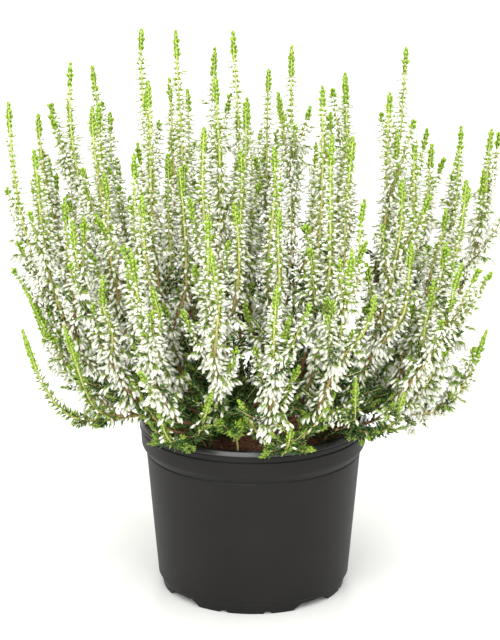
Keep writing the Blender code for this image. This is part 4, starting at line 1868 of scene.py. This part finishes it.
@dataclass(frozen=True)
class NurseryPot:
    """The moulded pot: rounded lip, stepped band, tapered wall and notched foot ring.

    Its sizes are in mm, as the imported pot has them.
    """

    height: float = 93.4
    lip_radius: float = 60.0
    lip_inner_radius: float = 56.4
    lip_bottom: float = 88.1
    lip_slope: float = 1.15
    groove: float = 90.6
    groove_depth: float = 0.3
    strip_radius: float = 58.6  # of the groove between the lip and the band
    band_radii: tuple[float, float] = (59.2, 58.9)
    band_bottom: float = 79.2
    wall_top: float = 75.4
    wall_bottom: float = 7.0
    wall_radii: tuple[float, float] = (56.4, 50.6)
    wall: float = 1.4
    crease: float = 0.8  # depth of the shadow lines above and below the wall
    foot_line: tuple[float, float] = (49.2, 5.3)
    foot_radius: float = 48.1
    foot_width: float = 3.5
    underside: float = 4.2
    drain_radius: float = 6.0
    steps: int = 128
    feet: tuple[float, ...] = (-5.0, 85.0, 175.0, 265.0)
    # Half the width at the bottom and at the top, and the height, of the gaps and the notches
    cut_out: tuple[float, float, float] = (12.2, 7.9, 3.5)
    cut_out_from_foot: float = 45.0
    notch: tuple[float, float, float] = (2.35, 1.05, 1.6)
    notch_from_foot: float = 13.8
    cutter_depth: float = 12.0
    cutter_overrun: float = 1.0
    sharp_angle: float = 32.0

    def outline(self) -> list[tuple[float, float]]:
        """Gives the section of the pot, from the inside of the lip, over it and round.

        Returns:
            Radius and height of each point, in metres.
        """
        floor = self.underside + self.wall
        groove_top = self.groove + self.groove_depth
        high, low = self.wall_radii
        return rounded(
            [
                (self.lip_inner_radius, self.height, 0.8),
                (self.lip_radius - self.lip_slope, self.height, 0.6),
                (self.lip_radius, groove_top, 0.2),
                (self.lip_radius - self.groove_depth, self.groove, 0.0),
                (self.lip_radius - 0.05, self.groove - self.groove_depth, 0.2),
                (self.lip_radius - 0.1, self.lip_bottom, 0.4),
                (self.strip_radius, self.lip_bottom - 0.1, 0.0),
                (self.strip_radius, self.lip_bottom - 0.9, 0.2),
                (self.band_radii[0], self.lip_bottom - 1.3, 0.3),
                (self.band_radii[1], self.band_bottom, 1.0),
                (high + 0.35, self.wall_top + 0.3, 0.4),
                (high + 0.35 - self.crease, self.wall_top - 0.2, 0.2),
                (high, self.wall_top - 1.0, 0.3),
                (low, self.wall_bottom, 0.3),
                (low - 0.1 - self.crease, self.wall_bottom - 0.4, 0.1),
                (low - 0.7, self.wall_bottom - 1.0, 0.2),
                (*self.foot_line, 0.4),
                (self.foot_radius, 0.0, 0.4),
                (self.foot_radius - self.foot_width, 0.0, 0.4),
                (self.foot_radius - self.foot_width, self.underside, 0.4),
                (self.drain_radius, self.underside, 0.3),
                (self.drain_radius, floor, 0.3),
                (low - self.wall, floor, 1.6),
                (high + 0.2 - self.wall, self.wall_top, 1.2),
                (self.lip_inner_radius, self.band_bottom, 0.8),
            ]
        )

    def cutter(self, azimuth: float, sizes: tuple[float, float, float]) -> bpy.types.Object:
        """Makes a wedge that cuts a gap, wider at the bottom, through the foot ring.

        Args:
            azimuth: The middle of the gap, in degrees.
            sizes: Half its width at the bottom and at the top, and its height.

        Returns:
            The wedge, in no collection.
        """
        bottom, top, height = sizes
        low = bottom + (bottom - top) * self.cutter_overrun / height
        wedge = bmesh.new()
        bmesh.ops.create_cube(wedge, size=1.0)
        for vert in wedge.verts:
            upper = vert.co.z > 0.0
            vert.co.x *= 2.0 * (top if upper else low) * MM
            vert.co.y = (-self.foot_radius + self.foot_width / 2.0 + vert.co.y * self.cutter_depth) * MM
            vert.co.z = (height if upper else -self.cutter_overrun) * MM
        turn = Matrix.Rotation(math.radians(azimuth), 3, "Z")
        bmesh.ops.rotate(wedge, verts=wedge.verts, matrix=turn)
        mesh = bpy.data.meshes.new("foot_gap")
        wedge.to_mesh(mesh)
        wedge.free()
        return bpy.data.objects.new("foot_gap", mesh)

    def cut_feet(self, pot: bpy.types.Object) -> None:
        """Cuts the gaps and the notches out of the foot ring.

        Args:
            pot: The pot, which gets a new mesh.
        """
        gaps = bpy.data.collections.new("foot_gaps")
        bpy.context.scene.collection.children.link(gaps)
        for foot in self.feet:
            gaps.objects.link(self.cutter(foot + self.cut_out_from_foot, self.cut_out))
            for side in (-self.notch_from_foot, self.notch_from_foot):
                gaps.objects.link(self.cutter(foot + side, self.notch))
        cut = pot.modifiers.new("Feet", "BOOLEAN")
        cut.operand_type = "COLLECTION"
        cut.collection = gaps
        cut.solver = "EXACT"
        depsgraph = bpy.context.evaluated_depsgraph_get()
        pot_with_feet = bpy.data.meshes.new_from_object(pot.evaluated_get(depsgraph))
        pot.modifiers.clear()
        pot.data = pot_with_feet
        for wedge in list(gaps.objects):
            bpy.data.objects.remove(wedge)
        bpy.data.collections.remove(gaps)

    def build(self, finish: bpy.types.Material, lip_finish: bpy.types.Material) -> None:
        """Makes the pot.

        Args:
            finish: The material of the wall, the band and the feet.
            lip_finish: The material of the lip above its groove.
        """
        pot = turned("nursery_pot", self.outline(), self.steps)
        self.cut_feet(pot)
        mesh = pot.data
        mesh.materials.clear()
        mesh.materials.append(finish)
        mesh.materials.append(lip_finish)
        for face in mesh.polygons:
            face.material_index = 1 if face.center.z > self.groove * MM else 0
        mesh.shade_smooth()
        mesh.set_sharp_from_angle(angle=math.radians(self.sharp_angle))
        settle_piece(pot, Slot.POT, ("pot",))


@dataclass(frozen=True)
class Compost:
    """The compost in the pot: an uneven surface with loose crumbs and fibres of bark."""

    level: float = 87.0 * MM
    edge_radius: float = 56.1 * MM
    # Radius and height of the side, from below the surface down to the floor
    side: tuple = ((56.1 * MM, 79.2 * MM), (54.9 * MM, 75.4 * MM), (48.9 * MM, 7.5 * MM))
    rings: int = 28
    steps: int = 96
    relief: float = 1.1 * MM
    lump: float = 9.0 * MM
    fine_lump: float = 0.28  # share of a lump
    fine_relief: float = 0.45  # share of the relief
    sunk_from: float = 0.86  # share of the radius where the surface starts to sink to its edge
    sunk: float = 1.0 * MM
    crumbs: int = 900
    crumb_size: tuple[float, float] = (0.7 * MM, 2.4 * MM)
    fibres: int = 420
    fibre_length: tuple[float, float] = (3.0 * MM, 8.0 * MM)
    fibre_width: float = 0.5 * MM
    loose_margin: float = 2.0 * MM  # between the edge and the loose pieces

    def surface(self, x: float, y: float) -> float:
        """Gives the height of the compost at a place.

        Args:
            x: The place to the right of the axis.
            y: The place behind the axis.

        Returns:
            The height.
        """
        broad = noise.noise(Vector((x, y, 0.0)) / self.lump)
        fine = noise.noise(Vector((x, y, self.lump)) / (self.lump * self.fine_lump))
        edge = ease((math.hypot(x, y) / self.edge_radius - self.sunk_from) / (1.0 - self.sunk_from))
        return self.level + self.relief * (broad + self.fine_relief * fine) - self.sunk * edge

    def body(self, store: MeshStore) -> None:
        """Adds the closed body of the compost: its surface, and its side and floor in the pot.

        Args:
            store: Where it goes.
        """
        points = [(0.0, 0.0, self.surface(0.0, 0.0))]
        for ring in range(1, self.rings + 1):
            radius = self.edge_radius * ring / self.rings
            for step in range(self.steps):
                turn = math.tau * step / self.steps
                x, y = radius * math.cos(turn), radius * math.sin(turn)
                points.append((x, y, self.surface(x, y)))
        for radius, height in self.side:
            for step in range(self.steps):
                turn = math.tau * step / self.steps
                points.append((radius * math.cos(turn), radius * math.sin(turn), height))
        points.append((0.0, 0.0, self.side[-1][1]))
        faces = [(0, 1 + step, 1 + (step + 1) % self.steps) for step in range(self.steps)]
        for ring in range(self.rings + len(self.side) - 1):
            first = 1 + ring * self.steps
            for step in range(self.steps):
                follow = (step + 1) % self.steps
                after = first + self.steps
                faces.append((first + step, after + step, after + follow, first + follow))
        first = 1 + (self.rings + len(self.side) - 1) * self.steps
        last = len(points) - 1
        faces += [(last, first + (step + 1) % self.steps, first + step) for step in range(self.steps)]
        store.add(np.array(points), *flatten(faces), np.zeros(len(points)), np.full(len(points), 0.3))

    def build(self, finish: bpy.types.Material) -> None:
        """Makes the compost.

        Args:
            finish: Its material.
        """
        draw = random.Random(SEED)
        store = MeshStore()
        self.body(store)
        crumbs = Copies(crumb_form())
        fibres = Copies(grown(((0.0, 0.5), (0.3, 1.0), (0.7, 0.8)), 3, bend=1.5))
        for number in range(self.crumbs + self.fibres):
            radius = (self.edge_radius - self.loose_margin) * math.sqrt(draw.random())
            turn = draw.uniform(0.0, math.tau)
            x, y = radius * math.cos(turn), radius * math.sin(turn)
            spot = Vector((x, y, self.surface(x, y)))
            swing = draw.uniform(0.0, math.tau)
            if number < self.crumbs:
                size = blend(*self.crumb_size, draw.random() ** 2)
                way = Vector((math.cos(swing), math.sin(swing), draw.uniform(-0.6, 0.6)))
                crumbs.add(spot, way, UP, size, size * draw.uniform(0.6, 1.0), draw.random())
            else:
                way = Vector((math.cos(swing), math.sin(swing), draw.uniform(0.0, 0.25)))
                length = draw.uniform(*self.fibre_length)
                fibres.add(spot, way, UP, length, self.fibre_width, draw.random())
        crumbs.pour(store)
        fibres.pour(store)
        settle_piece(store.to_object("compost_fill", (finish,)), Slot.COMPOST, ("compost",))


@dataclass(frozen=True)
class Studio:
    """The camera where the photographer stood, a pale floor and soft light."""

    distance: float = 1221.5 * MM
    height: float = 516.1 * MM
    aside: float = -1.8 * MM
    pitch: float = 0.295
    focal_length: float = 138.05
    sensor: float = 36.0
    floor_size: float = 16.0
    floor_stops: Stops = ((0.2, "#f7f7f6"), (0.8, "#fbfbfa"))
    floor_mottle: float = 40.0  # mm
    floor_roughness: float = 0.9
    aim_height: float = 150.0 * MM
    # Name, azimuth, distance and height, its own width and height in metres, and watts
    softboxes: tuple = (
        ("key", -8.0, 1.9, 1.15, (3.4, 1.2), 46.0),
        ("overhead", 10.0, 0.45, 1.6, (1.2, 1.2), 13.0),
        ("back", 180.0, 2.4, 0.95, (0.7, 0.7), 19.0),
        ("ceiling", 0.0, 0.0, 2.5, (8.0, 8.0), 114.0),
    )
    surroundings: str = "#fffdf6"
    surroundings_strength: float = 0.45

    def camera(self) -> None:
        """Adds the camera."""
        data = bpy.data.cameras.new("camera")
        data.lens = self.focal_length
        data.sensor_width = self.sensor
        made = bpy.data.objects.new("camera", data)
        made.location = (self.aside, -self.distance, self.height)
        made.rotation_euler = (math.pi / 2.0 - self.pitch, 0.0, 0.0)
        bpy.context.scene.collection.objects.link(made)
        bpy.context.scene.camera = made

    def floor(self) -> None:
        """Adds the pale floor."""
        half = self.floor_size / 2.0
        mesh = bpy.data.meshes.new("floor")
        corners = [(-half, -half, 0.0), (half, -half, 0.0), (half, half, 0.0), (-half, half, 0.0)]
        mesh.from_pydata(corners, [], [(0, 1, 2, 3)])
        made, tree, shader = new_finish("pale_paper")
        place = add_node(tree, "TexCoord").outputs["Object"]
        mottle = {"Scale": grain_size(self.floor_mottle), "Detail": 2.0}
        fibres = add_node(tree, "TexNoise", mottle, {"Vector": place})
        shade = add_node(tree, "ValToRGB", {"stops": self.floor_stops}, {"Fac": fibres.outputs["Fac"]})
        tree.links.new(shade.outputs["Color"], shader.inputs["Base Color"])
        shader.inputs["Roughness"].default_value = self.floor_roughness
        mesh.materials.append(made)
        floor = bpy.data.objects.new("floor", mesh)
        bpy.context.scene.collection.objects.link(floor)

    def softbox(
        self,
        name: str,
        azimuth: float,
        distance: float,
        height: float,
        size: tuple[float, float],
        watts: float,
    ) -> None:
        """Adds one area light that faces the plant.

        Args:
            name: The light's name.
            azimuth: Where it stands, in degrees from the front.
            distance: How far from the plant's axis it stands, in metres.
            height: Its height in metres.
            size: Its width and height in metres.
            watts: Its power.
        """
        data = bpy.data.lights.new(name, "AREA")
        data.shape = "RECTANGLE"
        data.size, data.size_y = size
        data.energy = watts
        made = bpy.data.objects.new(name, data)
        made.location = outward(azimuth) * distance + UP * height
        aim = UP * self.aim_height - made.location
        made.rotation_euler = aim.to_track_quat("-Z", "Y").to_euler()
        bpy.context.scene.collection.objects.link(made)

    def build(self) -> None:
        """Sets up the camera, the floor, the lights and the white surroundings."""
        self.camera()
        self.floor()
        for box in self.softboxes:
            self.softbox(*box)
        world = bpy.data.worlds.new("white_room")
        world.use_nodes = True
        backdrop = world.node_tree.nodes["Background"]
        backdrop.inputs["Color"].default_value = linear(self.surroundings)
        backdrop.inputs["Strength"].default_value = self.surroundings_strength
        bpy.context.scene.world = world
        bpy.context.scene.view_settings.view_transform = "Standard"


def main() -> None:
    """Builds every piece in order."""
    logging.basicConfig(level=logging.INFO, format="%(name)s: %(message)s")
    Studio().build()
    palette = Palette.mixed()
    lip = MouldedPolypropylene("polished_polypropylene", roughness=0.28, specular=0.75)
    NurseryPot().build(MouldedPolypropylene().build(), lip.build())
    Compost().build(PeatCompost().build())
    Crowns().build(palette)
    Sprays().build(palette)
    LowSprays().build(palette)
    LeafyShoots().build(palette)
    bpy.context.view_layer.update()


if __name__ == "__main__":
    main()
